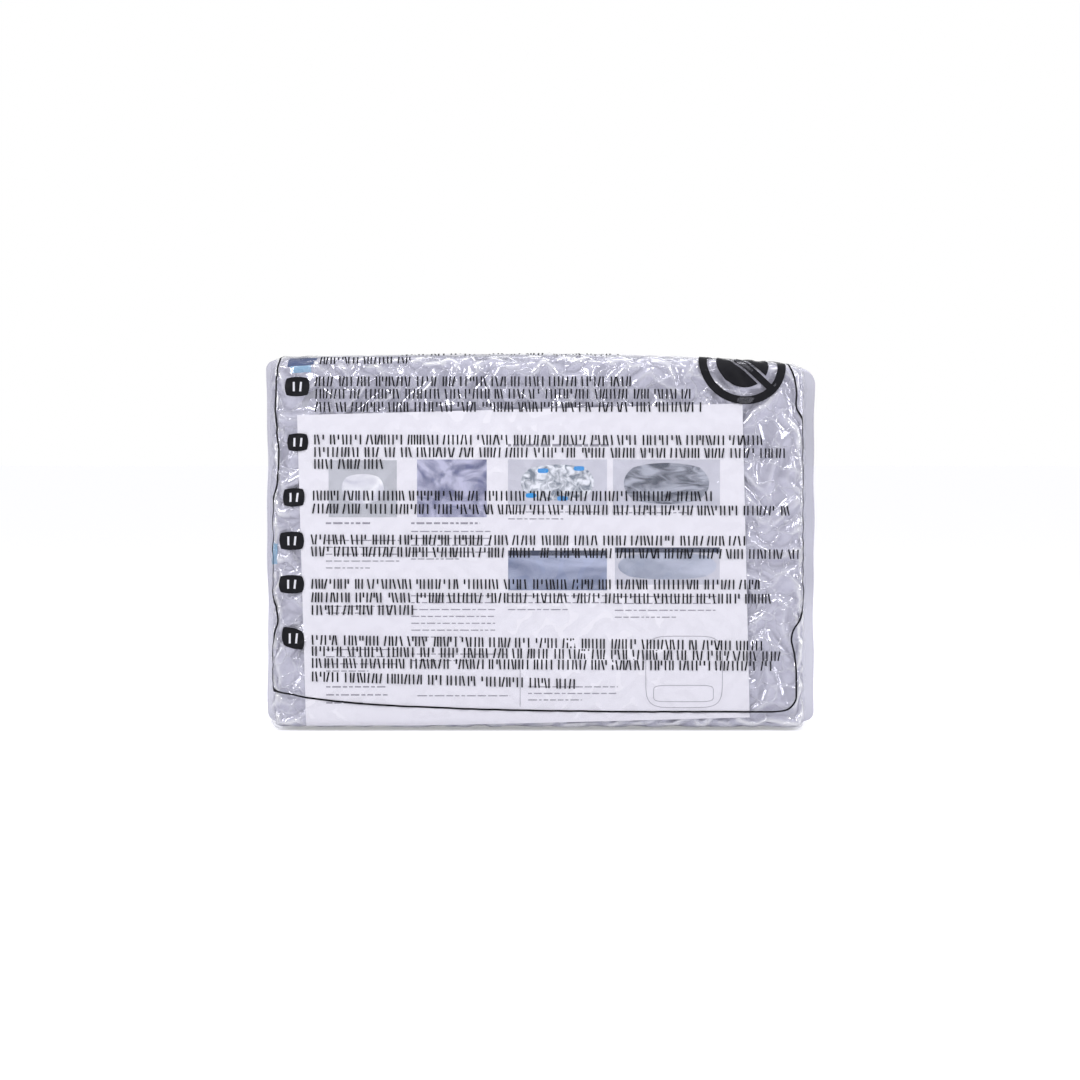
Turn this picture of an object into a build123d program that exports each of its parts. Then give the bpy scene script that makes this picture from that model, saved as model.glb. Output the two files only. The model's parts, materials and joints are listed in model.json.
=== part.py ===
from build123d import *
import os
from math import pi, radians, sin

# A bed pillow as it is sold: folded in half twice, pressed flat in an inner vacuum wrapper
# and slipped with a leaflet into a printed outer bag whose flap folds over the top and
# sticks to the back. Millimetres, +Z up. The pack stands on its long edge, the printed
# face looks along -Y, and the origin is the middle of the pack's base on the floor.

# ---- driving dimensions: the pack -------------------------------------------------
pack_width = 366.0  # over the two side seals
pack_height = 254.0
pack_depth = 112.0  # over the flap's tail on the back
seal_width = 8.0  # welded margin outside the body at each side
seal_corner = 7.0  # rounding of the welded margins' ends
seal_lift = 1.0  # the welded margins stay this far above the floor
side_radius = 12.0  # the body's upright edges
top_radius = 11.0  # the body's top edges
bottom_radius = 8.0  # the body's bottom edges
least_step = 0.5  # the top and bottom edges stay at least this much sharper than the sides

# ---- films, paper and clearances --------------------------------------------------
bag_film = 0.3
wrapper_film = 0.3
gap = 0.3  # between one layer of packaging and the next
hinge_gap = 0.3  # between a flap panel and the film it folds from

# ---- the flap ---------------------------------------------------------------------
tail_length = 78.0  # down the back from the flap's rear fold
tail_inset = 4.0  # the tail is this much narrower than the flat back, each side
tail_corner = 12.0
adhesive_thickness = 0.2
adhesive_height = 20.0
adhesive_margin = 8.0  # from the tail's ends and its lower edge
adhesive_clearance = 0.3  # lifted off the back of the bag

# ---- the leaflet, a sheet lying loose under the front film ----------------------------
leaflet_width = 297.0
leaflet_length = 210.0
leaflet_thickness = 0.3
leaflet_centre_x = -10.8
leaflet_top = 215.5  # height of the middle of its top edge
leaflet_tilt = 1.5  # degrees, its right-hand end higher

# ---- tape on the wrapper: (x, y and z spans of the region that each strip covers) -----
tape_thickness = 0.3
tape_width = 17.0
tape_top_x = -153.0  # centre of the strip over the top front edge
tape_top_front = 11.0  # how far it comes down the front
tape_top_back = 70.0  # how far it runs back over the top
tape_side_z = 120.0  # centre of the strip round the left front edge
tape_side_front = 9.0  # how far it comes onto the front
tape_side_back = 40.0  # how far it runs back along the side
tape_back_z = 128.0  # centre of the strip that closes the wrapper's overlap behind
tape_back_length = 60.0

# ---- the folded pillow ------------------------------------------------------------
cover_fabric = 0.8
liner_fabric = 0.4
fabric_clearance = 0.15  # between cover and liner, and between liner and filling
fold_slit = 0.4  # between two layers of the folded pillow
fold_radius = 10.0  # the inner corners where a layer turns over the top
least_radius = 2.0  # the tightest corner that a turn over the top is given
zip_room = 7.0  # left at the pillow's open end for the zip

# ---- the zip ------------------------------------------------------------------------
zip_low = 25.0  # height of the zip's two ends
zip_turn = 12.0  # radius of its run at the corners of the pillow's end
zip_tape_reach = 7.0  # from the middle of the zip to a tape's outer edge
zip_tape_slit = 0.4  # between the two tapes
zip_tape_thickness = 0.5
coil_width = 5.0
coil_thickness = 1.6
coil_start = 3.0  # above the tapes' ends
stop_width = 8.0
stop_height = 2.0
stop_thickness = 2.2
slider_length = 11.0
slider_width = 9.0
slider_plate = 1.0
slider_clearance = 0.2  # between the slider and the coil or tape it runs on
bail_width = 1.6
bail_length = 7.4
bail_window_length = 5.0
bail_window_height = 1.6
bail_wall = 0.8
pull_width = 7.0
pull_length = 24.0
pull_thickness = 1.0
pull_bar = 1.5  # the bar of the pull that passes through the bail
pull_slot_length = 2.9
pull_slot_width = 2.4

# ---- the care label -----------------------------------------------------------------
label_length = 28.0
label_reach = 5.0
label_ply = 0.25
label_slit = 0.3
label_z = 125.0

# ---- worked out from the above --------------------------------------------------------
top_edge = min(top_radius, side_radius - least_step)  # an edge is no rounder than the corner
bottom_edge = min(bottom_radius, side_radius - least_step)  # that it runs into
half_depth = pack_depth / 2
body_half = pack_width / 2 - seal_width
back_y = half_depth - bag_film - adhesive_thickness - adhesive_clearance
hinge_drop = top_edge * (1 - sin(radians(45)))  # the folds lie half-way round the edges
hinge_y = half_depth - hinge_drop
hinge_z = pack_height - hinge_drop

leaflet_inset = bag_film + gap
wrapper_inset = leaflet_inset + leaflet_thickness + gap
pillow_inset = wrapper_inset + wrapper_film + gap
far = 2 * (pack_width + pack_height + pack_depth)  # larger than anything here

pillow_left = -body_half + pillow_inset + zip_room
pillow_right = body_half - pillow_inset
pillow_front = -half_depth + pillow_inset
pillow_back = back_y - pillow_inset
pillow_top = pack_height - pillow_inset
pillow_mid_y = (pillow_front + pillow_back) / 2
layer = (pillow_back - pillow_front) / 4  # thickness of one of the four layers


def rounded_block(x_span, y_span, z_span, inset):
    """A block with rounded edges whose faces lie `inset` inside the three spans."""
    x_low, x_high = x_span[0] + inset, x_span[1] - inset
    y_low, y_high = y_span[0] + inset, y_span[1] - inset
    z_low, z_high = z_span[0] + inset, z_span[1] - inset
    with BuildPart() as block:
        with BuildSketch(Plane.XY.offset(z_low)):
            with Locations(((x_low + x_high) / 2, (y_low + y_high) / 2)):
                RectangleRounded(x_high - x_low, y_high - y_low, side_radius - inset)
        extrude(amount=z_high - z_low)
        fillet(block.faces().sort_by(Axis.Z)[-1].edges(), top_edge - inset)
        fillet(block.faces().sort_by(Axis.Z)[0].edges(), bottom_edge - inset)
    return block.part


def pack_block(rear_y, inset):
    """The pack's own rounded block, from its front to `rear_y`."""
    return rounded_block((-body_half, body_half), (-half_depth, rear_y), (0, pack_height), inset)


def region(x_span, y_span, z_span):
    """A plain box between the given spans, used to keep part of a shell."""
    with BuildPart() as box:
        with BuildSketch(Plane.XY.offset(z_span[0])):
            with Locations((sum(x_span) / 2, sum(y_span) / 2)):
                Rectangle(x_span[1] - x_span[0], y_span[1] - y_span[0])
        extrude(amount=z_span[1] - z_span[0])
    return box.part


def arch(half_width, top, radius, bottom=-10.0):
    """A flat arch seen along X: two upright sides and a top whose corners are rounded."""
    with BuildSketch() as outline:
        with Locations((pillow_mid_y, (top + bottom) / 2)):
            Rectangle(2 * half_width, top - bottom)
        fillet(outline.vertices().group_by(Axis.Y)[-1], radius)
    return outline.sketch


def arch_band(middle, reach_in, reach_out, x_span, bottom=-10.0):
    """A band that follows an arch (half width, top, radius), extruded between two X places."""
    half_width, top, radius = middle
    inner_radius = max(radius - reach_in, least_radius)
    outside = arch(half_width + reach_out, top + reach_out, radius + reach_out, bottom)
    inside = arch(half_width - reach_in, top - reach_in, inner_radius, bottom - 1)
    with BuildPart() as band:
        with BuildSketch(Plane.YZ.offset(x_span[0])):
            add(outside)
            add(inside, mode=Mode.SUBTRACT)
        extrude(amount=x_span[1] - x_span[0])
    return band.part


def folded_pillow(inset):
    """The pillow folded twice, every surface moved `inset` into the cloth.

    The first fold closes the right-hand end, so the slit between the outer and the inner
    pair of layers stops one layer short of it. The second fold is over the top, so the
    slit down the middle stops two layers short of the top.
    """
    block = rounded_block(
        (pillow_left - pillow_inset, pillow_right + pillow_inset),
        (pillow_front - pillow_inset, pillow_back + pillow_inset),
        (0, pack_height),
        pillow_inset + inset,
    )
    reach = fold_slit / 2 + inset
    between_layers = arch_band(
        (layer, pillow_top - layer, fold_radius),
        reach,
        reach,
        (-far, pillow_right - layer + inset),
    )
    down_the_middle = region(
        (-far, far),
        (pillow_mid_y - reach, pillow_mid_y + reach),
        (-far, pillow_top - 2 * layer + inset),
    )
    with BuildPart() as folded:
        add(block)
        add(between_layers, mode=Mode.SUBTRACT)
        add(down_the_middle, mode=Mode.SUBTRACT)
    return folded.part


def save(piece, name):
    piece.part.label = name
    export_step(piece.part, f"parts/{name}.step")


os.makedirs("parts", exist_ok=True)

# ---- outer bag: front and back film, welded to each other along both sides ------------
bag_outside = pack_block(back_y, 0)
bag_inside = pack_block(back_y, bag_film)
mouth_z = hinge_z - hinge_gap / 2
front_half = region((-far, far), (-far, 0), (-far, mouth_z))
back_half = region((-far, far), (0, far), (-far, mouth_z))
seal_top = mouth_z
seal_middle = (seal_lift + seal_top) / 2

with BuildPart() as bag_front_film:
    with BuildSketch(Plane.XZ):
        with Locations((0, seal_middle)):
            RectangleRounded(pack_width, seal_top - seal_lift, seal_corner)
            Rectangle(2 * body_half - bag_film, pack_height, mode=Mode.SUBTRACT)
    extrude(amount=bag_film)
    add(bag_outside)
    add(bag_inside, mode=Mode.SUBTRACT)
    add(front_half, mode=Mode.INTERSECT)
save(bag_front_film, "bag_front_film")

with BuildPart() as bag_back_film:
    with BuildSketch(Plane.XZ):
        with Locations((0, seal_middle)):
            RectangleRounded(pack_width, seal_top - seal_lift, seal_corner)
            Rectangle(2 * body_half - bag_film, pack_height, mode=Mode.SUBTRACT)
    extrude(amount=-bag_film)
    add(bag_outside)
    add(bag_inside, mode=Mode.SUBTRACT)
    add(back_half, mode=Mode.INTERSECT)
save(bag_back_film, "bag_back_film")

# ---- flap: a panel over the mouth and a tail down the back, folding at the edges ------
flap_outside = pack_block(half_depth, 0)
flap_inside = pack_block(half_depth, bag_film)
over_the_mouth = region((-far, far), (-far, far), (hinge_z + hinge_gap / 2, far))
tail_half = body_half - side_radius - tail_inset
tail_top = hinge_z - hinge_gap / 2
tail_bottom = hinge_z - tail_length
inside_y = half_depth - bag_film

with BuildPart() as flap_top_panel:
    add(flap_outside)
    add(flap_inside, mode=Mode.SUBTRACT)
    add(over_the_mouth, mode=Mode.INTERSECT)
save(flap_top_panel, "flap_top_panel")

with BuildPart() as tail_region:
    with BuildSketch(Plane.XZ.offset(-half_depth)) as tail_outline:
        with Locations((0, (tail_top + tail_bottom) / 2)):
            Rectangle(2 * tail_half, tail_top - tail_bottom)
        fillet(tail_outline.vertices().group_by(Axis.Y)[0], tail_corner)
    extrude(amount=top_edge)

with BuildPart() as flap_tail:
    add(flap_outside)
    add(flap_inside, mode=Mode.SUBTRACT)
    add(tail_region.part, mode=Mode.INTERSECT)
save(flap_tail, "flap_tail")

with BuildPart() as flap_adhesive_strip:
    with BuildSketch(Plane.XZ.offset(-inside_y)):
        with Locations((0, tail_bottom + adhesive_margin + adhesive_height / 2)):
            Rectangle(2 * (tail_half - adhesive_margin), adhesive_height)
    extrude(amount=adhesive_thickness)
save(flap_adhesive_strip, "flap_adhesive_strip")

# ---- leaflet: the lower end follows the rounded bottom edge of the pack ----------------
leaflet_arc = bottom_edge - leaflet_inset
length_on_arc = max(leaflet_length - (leaflet_top - bottom_edge), 0)
arc_turn = min(length_on_arc / leaflet_arc, pi / 2)
straight_length = min(leaflet_length, leaflet_top - bottom_edge)
leaflet_rise = straight_length + leaflet_arc * sin(arc_turn)  # its height as it lies
leaflet_outside = pack_block(back_y, leaflet_inset)
leaflet_inside = pack_block(back_y, leaflet_inset + leaflet_thickness)

with BuildPart() as leaflet_region:
    with BuildSketch(Plane.XZ.offset(half_depth - bottom_edge)):
        with Locations(Location((leaflet_centre_x, leaflet_top), leaflet_tilt)):
            Rectangle(leaflet_width, leaflet_rise, align=(Align.CENTER, Align.MAX))
    extrude(amount=bottom_edge)

with BuildPart() as instruction_leaflet:
    add(leaflet_outside)
    add(leaflet_inside, mode=Mode.SUBTRACT)
    add(leaflet_region.part, mode=Mode.INTERSECT)
save(instruction_leaflet, "instruction_leaflet")

# ---- vacuum wrapper: a front and a back film that meet round the middle ----------------
wrapper_outside = pack_block(back_y, wrapper_inset)
wrapper_inside = pack_block(back_y, wrapper_inset + wrapper_film)

with BuildPart() as wrapper_front_film:
    add(wrapper_outside)
    add(wrapper_inside, mode=Mode.SUBTRACT)
    add(region((-far, far), (-far, 0), (-far, far)), mode=Mode.INTERSECT)
save(wrapper_front_film, "wrapper_front_film")

with BuildPart() as wrapper_back_film:
    add(wrapper_outside)
    add(wrapper_inside, mode=Mode.SUBTRACT)
    add(region((-far, far), (0, far), (-far, far)), mode=Mode.INTERSECT)
save(wrapper_back_film, "wrapper_back_film")

# ---- tape strips stuck on the outside of the wrapper ------------------------------------
tape_outside = pack_block(back_y, wrapper_inset - tape_thickness)
half_tape = tape_width / 2
wrapper_front = -half_depth + wrapper_inset
wrapper_left = -body_half + wrapper_inset
wrapper_top = pack_height - wrapper_inset
tape_spans = {
    "wrapper_tape_top": (
        (tape_top_x - half_tape, tape_top_x + half_tape),
        (-far, wrapper_front + tape_top_back),
        (wrapper_top - tape_top_front, far),
    ),
    "wrapper_tape_side": (
        (-far, wrapper_left + tape_side_front),
        (-far, wrapper_front + tape_side_back),
        (tape_side_z - half_tape, tape_side_z + half_tape),
    ),
    "wrapper_tape_back": (
        (-tape_back_length / 2, tape_back_length / 2),
        (0, far),
        (tape_back_z - half_tape, tape_back_z + half_tape),
    ),
}
for tape_name, spans in tape_spans.items():
    tape_region = region(*spans)
    with BuildPart() as wrapper_tape:
        add(tape_outside)
        add(wrapper_outside, mode=Mode.SUBTRACT)
        add(tape_region, mode=Mode.INTERSECT)
    save(wrapper_tape, tape_name)

# ---- pillow: cover, liner and filling, each the folded shape one step further in --------
liner_inset = cover_fabric + fabric_clearance
fill_inset = liner_inset + liner_fabric + fabric_clearance
cover_block = folded_pillow(0)
cover_hollow = folded_pillow(cover_fabric)
liner_block = folded_pillow(liner_inset)
liner_hollow = folded_pillow(liner_inset + liner_fabric)
fill_block = folded_pillow(fill_inset)

# The side seams run along the middle of each layer, so the panel that faces inwards after
# the first fold is the cloth between the middle of the outer and of the inner layer.
inward_face = arch_band(
    (layer, pillow_top - layer, fold_radius), layer / 2, layer / 2, (-far, pillow_right - layer / 2)
)

with BuildPart() as cover_outer_panel:
    add(cover_block)
    add(cover_hollow, mode=Mode.SUBTRACT)
    add(inward_face, mode=Mode.SUBTRACT)
save(cover_outer_panel, "cover_outer_panel")

with BuildPart() as cover_inner_panel:
    add(cover_block)
    add(cover_hollow, mode=Mode.SUBTRACT)
    add(inward_face, mode=Mode.INTERSECT)
save(cover_inner_panel, "cover_inner_panel")

with BuildPart() as inner_liner:
    add(liner_block)
    add(liner_hollow, mode=Mode.SUBTRACT)
save(inner_liner, "inner_liner")

with BuildPart() as fibre_fill:
    add(fill_block)
save(fibre_fill, "fibre_fill")

# ---- zip: up the end of the outer layer, over the fold and down the other side ----------
zip_run = (1.5 * layer, pillow_top - layer / 2, zip_turn)
tape_face = pillow_left - zip_tape_thickness
coil_face = tape_face - coil_thickness
half_slit = zip_tape_slit / 2
tape_span = (tape_face, pillow_left)
outer_tape = arch_band(zip_run, -half_slit, zip_tape_reach, tape_span, zip_low)
inner_tape = arch_band(zip_run, zip_tape_reach, -half_slit, tape_span, zip_low)
coil = arch_band(zip_run, coil_width / 2, coil_width / 2, (coil_face, tape_face), zip_low + coil_start)
zip_pieces = {"zip_tape_outer": outer_tape, "zip_tape_inner": inner_tape, "zip_coil": coil}
for zip_name, zip_shape in zip_pieces.items():
    with BuildPart() as zip_piece:
        add(zip_shape)
    save(zip_piece, zip_name)

zip_leg_y = 1.5 * layer
stop_z = zip_low + coil_start / 2
with BuildPart() as zip_stops:
    with BuildSketch(Plane.YZ.offset(tape_face)):
        with Locations((pillow_mid_y - zip_leg_y, stop_z), (pillow_mid_y + zip_leg_y, stop_z)):
            Rectangle(stop_width, stop_height)
    extrude(amount=-stop_thickness)
save(zip_stops, "zip_stops")

# The slider rests at the zip's front end, above the stop.
slider_y = pillow_mid_y - zip_leg_y
slider_z = zip_low + coil_start + slider_length / 2
channel_face = coil_face - slider_clearance
plate_face = channel_face - slider_plate
window_face = plate_face - bail_window_height
with BuildPart() as zip_slider:
    with BuildSketch(Plane.YZ.offset(tape_face - slider_clearance)):
        with Locations((slider_y, slider_z)):
            RectangleRounded(slider_width, slider_length, slider_width / 4)
    extrude(amount=plate_face - tape_face + slider_clearance)
    with BuildSketch(Plane.YZ.offset(tape_face)):
        with Locations((slider_y, slider_z)):
            Rectangle(coil_width + 2 * slider_clearance, 2 * slider_length)
    extrude(amount=channel_face - tape_face, mode=Mode.SUBTRACT)
    with BuildSketch(Plane.XZ.offset(-slider_y - bail_width / 2)):
        with Locations((plate_face, slider_z)):
            Rectangle(
                bail_window_height + bail_wall, bail_length, align=(Align.MAX, Align.CENTER)
            )
            Rectangle(
                bail_window_height, bail_window_length, align=(Align.MAX, Align.CENTER), mode=Mode.SUBTRACT
            )
    extrude(amount=bail_width)
save(zip_slider, "zip_slider")

pull_face = plate_face - (bail_window_height - pull_thickness) / 2
pull_top = slider_z
slot_top = pull_top - pull_bar
with BuildPart() as zip_pull:
    with BuildSketch(Plane.YZ.offset(pull_face)):
        with Locations((slider_y, pull_top - pull_length / 2)):
            RectangleRounded(pull_width, pull_length, pull_width / 3)
        with Locations((slider_y, slot_top)):
            Rectangle(
                pull_slot_width, pull_slot_length, align=(Align.CENTER, Align.MAX), mode=Mode.SUBTRACT
            )
    extrude(amount=-pull_thickness)
save(zip_pull, "zip_pull")

# ---- care label: a folded ribbon caught in the seam of the inner layer ------------------
label_y = pillow_mid_y - layer / 2
label_outer = 2 * label_ply + label_slit
with BuildPart() as care_label:
    with BuildSketch(Plane.XY.offset(label_z - label_length / 2)):
        with Locations((pillow_left, label_y)):
            Rectangle(label_reach, label_outer, align=(Align.MAX, Align.CENTER))
            Rectangle(
                label_reach - label_ply, label_slit, align=(Align.MAX, Align.CENTER), mode=Mode.SUBTRACT
            )
    extrude(amount=label_length)
save(care_label, "care_label")
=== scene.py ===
"""Looks for a packaged bed pillow: a folded pillow in a crinkled vacuum wrapper, with a leaflet,
in a clear printed bag whose flap closes over the top and down the back."""

import json
import math

import bmesh
import bpy
import numpy as np
from bpy.props import FloatProperty, FloatVectorProperty, PointerProperty
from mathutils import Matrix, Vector


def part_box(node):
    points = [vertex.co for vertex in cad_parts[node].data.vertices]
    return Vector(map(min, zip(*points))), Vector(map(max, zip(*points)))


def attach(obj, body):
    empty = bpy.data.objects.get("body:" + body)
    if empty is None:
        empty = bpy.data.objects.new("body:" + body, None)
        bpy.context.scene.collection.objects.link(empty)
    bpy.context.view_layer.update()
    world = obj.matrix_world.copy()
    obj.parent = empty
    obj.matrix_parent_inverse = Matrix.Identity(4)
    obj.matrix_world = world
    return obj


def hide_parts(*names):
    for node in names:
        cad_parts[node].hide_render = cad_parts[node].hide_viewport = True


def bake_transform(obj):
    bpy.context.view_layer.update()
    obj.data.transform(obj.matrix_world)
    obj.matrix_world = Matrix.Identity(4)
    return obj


bl_info = {
    "name": "Packaged Bed Pillow",
    "version": (1, 0, 0),
    "blender": (4, 5, 0),
    "location": "View3D > Sidebar > Pillow Pack",
    "description": "Builds the films, print, leaflet and pillow of a vacuum-packed bed pillow",
    "category": "Object",
}

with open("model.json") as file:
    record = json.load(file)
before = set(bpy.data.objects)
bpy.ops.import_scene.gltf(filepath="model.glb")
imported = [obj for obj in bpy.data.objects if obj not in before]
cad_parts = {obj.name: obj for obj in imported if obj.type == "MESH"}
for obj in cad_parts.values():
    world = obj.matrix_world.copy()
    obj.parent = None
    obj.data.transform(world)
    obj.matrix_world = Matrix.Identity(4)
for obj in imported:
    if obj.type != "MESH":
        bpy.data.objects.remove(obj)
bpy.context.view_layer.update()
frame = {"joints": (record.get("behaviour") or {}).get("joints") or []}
MM = 0.001


def cad_box(node):
    """The lowest and highest corner of a CAD node, in millimetres."""
    low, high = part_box(node)
    return np.array(low) / MM, np.array(high) / MM


# ---- the frame, in millimetres ---------------------------------------------------------
FRONT_Y = cad_box("bag_front_film")[0][1]
BACK_Y = cad_box("bag_back_film")[1][1]
HEIGHT = cad_box("flap_top_panel")[1][2]
TAIL_LOW, TAIL_HIGH = cad_box("flap_tail")
WRAP_LOW, WRAP_HIGH = cad_box("wrapper_front_film")
PILLOW_LOW = cad_box("cover_outer_panel")[0]
HINGES = {j["name"]: np.array(j["pos_m"]) / MM for j in frame["joints"]}
WRAP_INSET = WRAP_LOW[2]  # the wrapper lies this far inside the bag all round
BODY_X = WRAP_HIGH[0] + WRAP_INSET  # half width of the body, without the welded margins
EDGE_TOP = (HEIGHT - HINGES["flap_fold"][2]) / (1 - math.sqrt(0.5))
EDGE_BOTTOM = 0.73 * EDGE_TOP


# ---- numbers --------------------------------------------------------------------------
def smooth(t):
    """0 to 1 with level ends."""
    t = np.clip(t, 0.0, 1.0)
    return t * t * (3 - 2 * t)


def resized(field, rows, columns):
    """A field of (rows, columns, channels) read at another number of rows and columns."""
    r = np.linspace(0, field.shape[0] - 1, rows)
    c = np.linspace(0, field.shape[1] - 1, columns)
    return sampled(field, *np.meshgrid(r, c, indexing="ij"))


def sampled(field, r, c):
    """The field read between its points, at fractional rows r and columns c."""
    r = np.clip(r, 0, field.shape[0] - 1.001)
    c = np.clip(c, 0, field.shape[1] - 1.001)
    r0, c0 = r.astype(int), c.astype(int)
    fr, fc = (r - r0)[..., None], (c - c0)[..., None]
    near = field[r0, c0] * (1 - fc) + field[r0, c0 + 1] * fc
    far = field[r0 + 1, c0] * (1 - fc) + field[r0 + 1, c0 + 1] * fc
    return near * (1 - fr) + far * fr


def pull(points, a, b, rest, share, only_push=False):
    """Moves the points of slice a and slice b towards their rest distance."""
    gap = points[b] - points[a]
    length = np.sqrt((gap**2).sum(-1, keepdims=True)) + 1e-9
    error = (length - rest) / length
    if only_push:
        error = np.minimum(error, 0)
    step = 0.5 * share * error * gap
    points[a] += step
    points[b] -= step


def crumpled(width, height, depth, spare, spacings, rounds, stiffness, seed):
    """A film with spare length pressed into a gap: (rows, columns, 3) moves across, up and out.

    The film is relaxed on a coarse net first and on finer nets after that, so that long
    folds come before the small creases between them. The outward move is from 0 to depth.
    """
    rng = np.random.default_rng(seed)
    points = None
    for spacing, extra, turns in zip(spacings, spare, rounds):
        n = int(round(height / spacing)) + 1
        m = int(round(width / spacing)) + 1
        across, up = width / (m - 1), height / (n - 1)
        rows, columns = np.meshgrid(
            np.linspace(0, height, n), np.linspace(0, width, m), indexing="ij"
        )
        if points is None:
            start = depth * (0.5 + 0.35 * rng.standard_normal((n, m)))
            points = np.stack([columns, rows, start], -1)
        else:
            points = resized(points, n, m)
            points[..., 2] += 0.06 * spacing * rng.standard_normal((n, m))
        flat = np.stack([columns, rows], -1)
        g = 1 + extra
        whole = slice(None)
        links = []
        for k in (0, 1):
            links.append(((whole, slice(k, m - 1, 2)), (whole, slice(k + 1, m, 2)), across * g))
            links.append(((slice(k, n - 1, 2), whole), (slice(k + 1, n, 2), whole), up * g))
        slant = math.hypot(across, up) * g
        for k in (0, 1):
            low, high = slice(k, n - 1, 2), slice(k + 1, n, 2)
            links.append(((low, slice(0, m - 1)), (high, slice(1, m)), slant))
            links.append(((low, slice(1, m)), (high, slice(0, m - 1)), slant))
        ribs = []
        for k in range(4):
            ribs.append(((whole, slice(k, m - 2, 4)), (whole, slice(k + 2, m, 4)), 2 * across * g))
            ribs.append(((slice(k, n - 2, 4), whole), (slice(k + 2, n, 4), whole), 2 * up * g))
        before = points.copy()
        for _ in range(turns):
            speed = points - before
            before = points.copy()
            points = points + 0.9 * speed
            for a, b, rest in links:
                pull(points, a, b, rest, 0.9)
            for a, b, rest in ribs:
                pull(points, a, b, rest, stiffness, True)
            points[..., 2] = np.clip(points[..., 2], 0, depth)
            for edge in (np.s_[0, :], np.s_[-1, :], np.s_[:, 0], np.s_[:, -1]):
                points[edge][..., :2] = flat[edge]
    points[..., :2] -= flat
    return points


class Creases:
    """Crumpled fields for the front and back, the ends and the top of a film round the pack."""

    def __init__(self, depth, end_depth, spare, spacings, rounds, stiffness, seed):
        self.depth = depth
        deep = BACK_Y - FRONT_Y
        width = 2 * BODY_X
        common = (spare, spacings, rounds, stiffness)
        self.front = crumpled(width, HEIGHT, depth, *common, seed)
        self.top = crumpled(width, deep, depth, *common, seed + 1)
        self.end = crumpled(deep, HEIGHT, end_depth, *common, seed + 2)
        self.end_depth = end_depth
        self.size = (width, HEIGHT, deep)

    def moves(self, points, normals):
        """Moves of the points of the film, from 0 to -depth along the normals and sideways."""
        width, height, deep = self.size
        x, y, z = points.T
        u = np.clip((x + BODY_X) / width, 0, 1)
        v = np.clip(z / height, 0, 1)
        w = np.clip((y - FRONT_Y) / deep, 0, 1)
        behind = normals[:, 1] > 0
        u_front = np.where(behind, 1 - u, u)
        v_front = np.where(behind, 1 - v, v)
        right = normals[:, 0] > 0
        w_end = np.where(right, 1 - w, w)
        v_end = np.where(right, 1 - v, v)
        face = [self._read(self.front, v_front, u_front), self._read(self.top, w, u)]
        end = self._read(self.end, v_end, w_end)
        share = normals**2
        side_sign = np.where(behind, -1.0, 1.0)
        end_sign = np.where(right, -1.0, 1.0)
        out = np.zeros_like(points)
        out[:, 0] += share[:, 1] * face[0][:, 0] * side_sign + share[:, 2] * face[1][:, 0]
        out[:, 2] += share[:, 1] * face[0][:, 1] * side_sign
        out[:, 1] += share[:, 2] * face[1][:, 1]
        out[:, 1] += share[:, 0] * end[:, 0] * end_sign
        out[:, 2] += share[:, 0] * end[:, 1] * end_sign
        sink = share[:, 1] * (face[0][:, 2] - self.depth)
        resting = np.where(normals[:, 2] < 0, 0.3, 1.0)  # the base is pressed flat
        sink += share[:, 2] * resting * (face[1][:, 2] - self.depth)
        sink += share[:, 0] * (end[:, 2] - self.end_depth)
        return out + normals * sink[:, None]

    @staticmethod
    def _read(field, v, u):
        return sampled(field, v * (field.shape[0] - 1), u * (field.shape[1] - 1))


# ---- the pack's own form --------------------------------------------------------------
CROWN_X = 13.0  # the top is highest here
WELD_X = {-1: 187.6, 1: 188.6}  # how far the welded margins reach to each side
LEFT_DROP = 2.2  # how much lower the top is at the left end and at the right end
RIGHT_DROP = 7.6
EDGE_DRAW = 1.4  # how far the front and back are drawn in towards their edges
LEFT_SPREAD = 7.0  # the films bulge this much further at the left end and at the right end
RIGHT_SPREAD = 4.5


def drop_at(x):
    """How far the top has sunk at x."""
    left = LEFT_DROP * ((CROWN_X - x) / (BODY_X + CROWN_X)) ** 2
    right = RIGHT_DROP * ((x - CROWN_X) / (BODY_X - CROWN_X)) ** 2
    return np.where(x < CROWN_X, left, right)


def settled(points, spread=1.0):
    """The block's points after its top has sunk at the ends and its faces have crowned."""
    x, y, z = points.T
    high = z / HEIGHT
    middle_y = (FRONT_Y + BACK_Y) / 2
    rim = np.maximum(np.abs(x / BODY_X) ** 5, np.abs(2 * high - 1) ** 5)
    out = points.copy()
    spreading = RIGHT_SPREAD * smooth(x / BODY_X) - LEFT_SPREAD * smooth(-x / BODY_X)
    out[:, 0] = x + spread * spreading
    out[:, 1] = middle_y + (y - middle_y) * (1 - rim * 2 * EDGE_DRAW / (BACK_Y - FRONT_Y))
    out[:, 2] = z - drop_at(x) * smooth(high * 1.05)
    return out


def wrapped(cube, low, high, inset):
    """Rounded-block points and normals for points on the surface of the cube low..high."""
    low, high = np.array(low, float) + inset, np.array(high, float) - inset
    cube = np.clip(cube, low, high)
    share = smooth((cube[:, 2] - low[2]) / (high[2] - low[2]))
    edge = EDGE_BOTTOM + (EDGE_TOP - EDGE_BOTTOM) * share
    edge = np.maximum(edge - inset, 2.0)[:, None]
    inner = np.clip(cube, low + edge, high - edge)
    out = cube - inner
    normals = out / np.linalg.norm(out, axis=1, keepdims=True)
    return inner + edge * normals, normals


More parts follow.
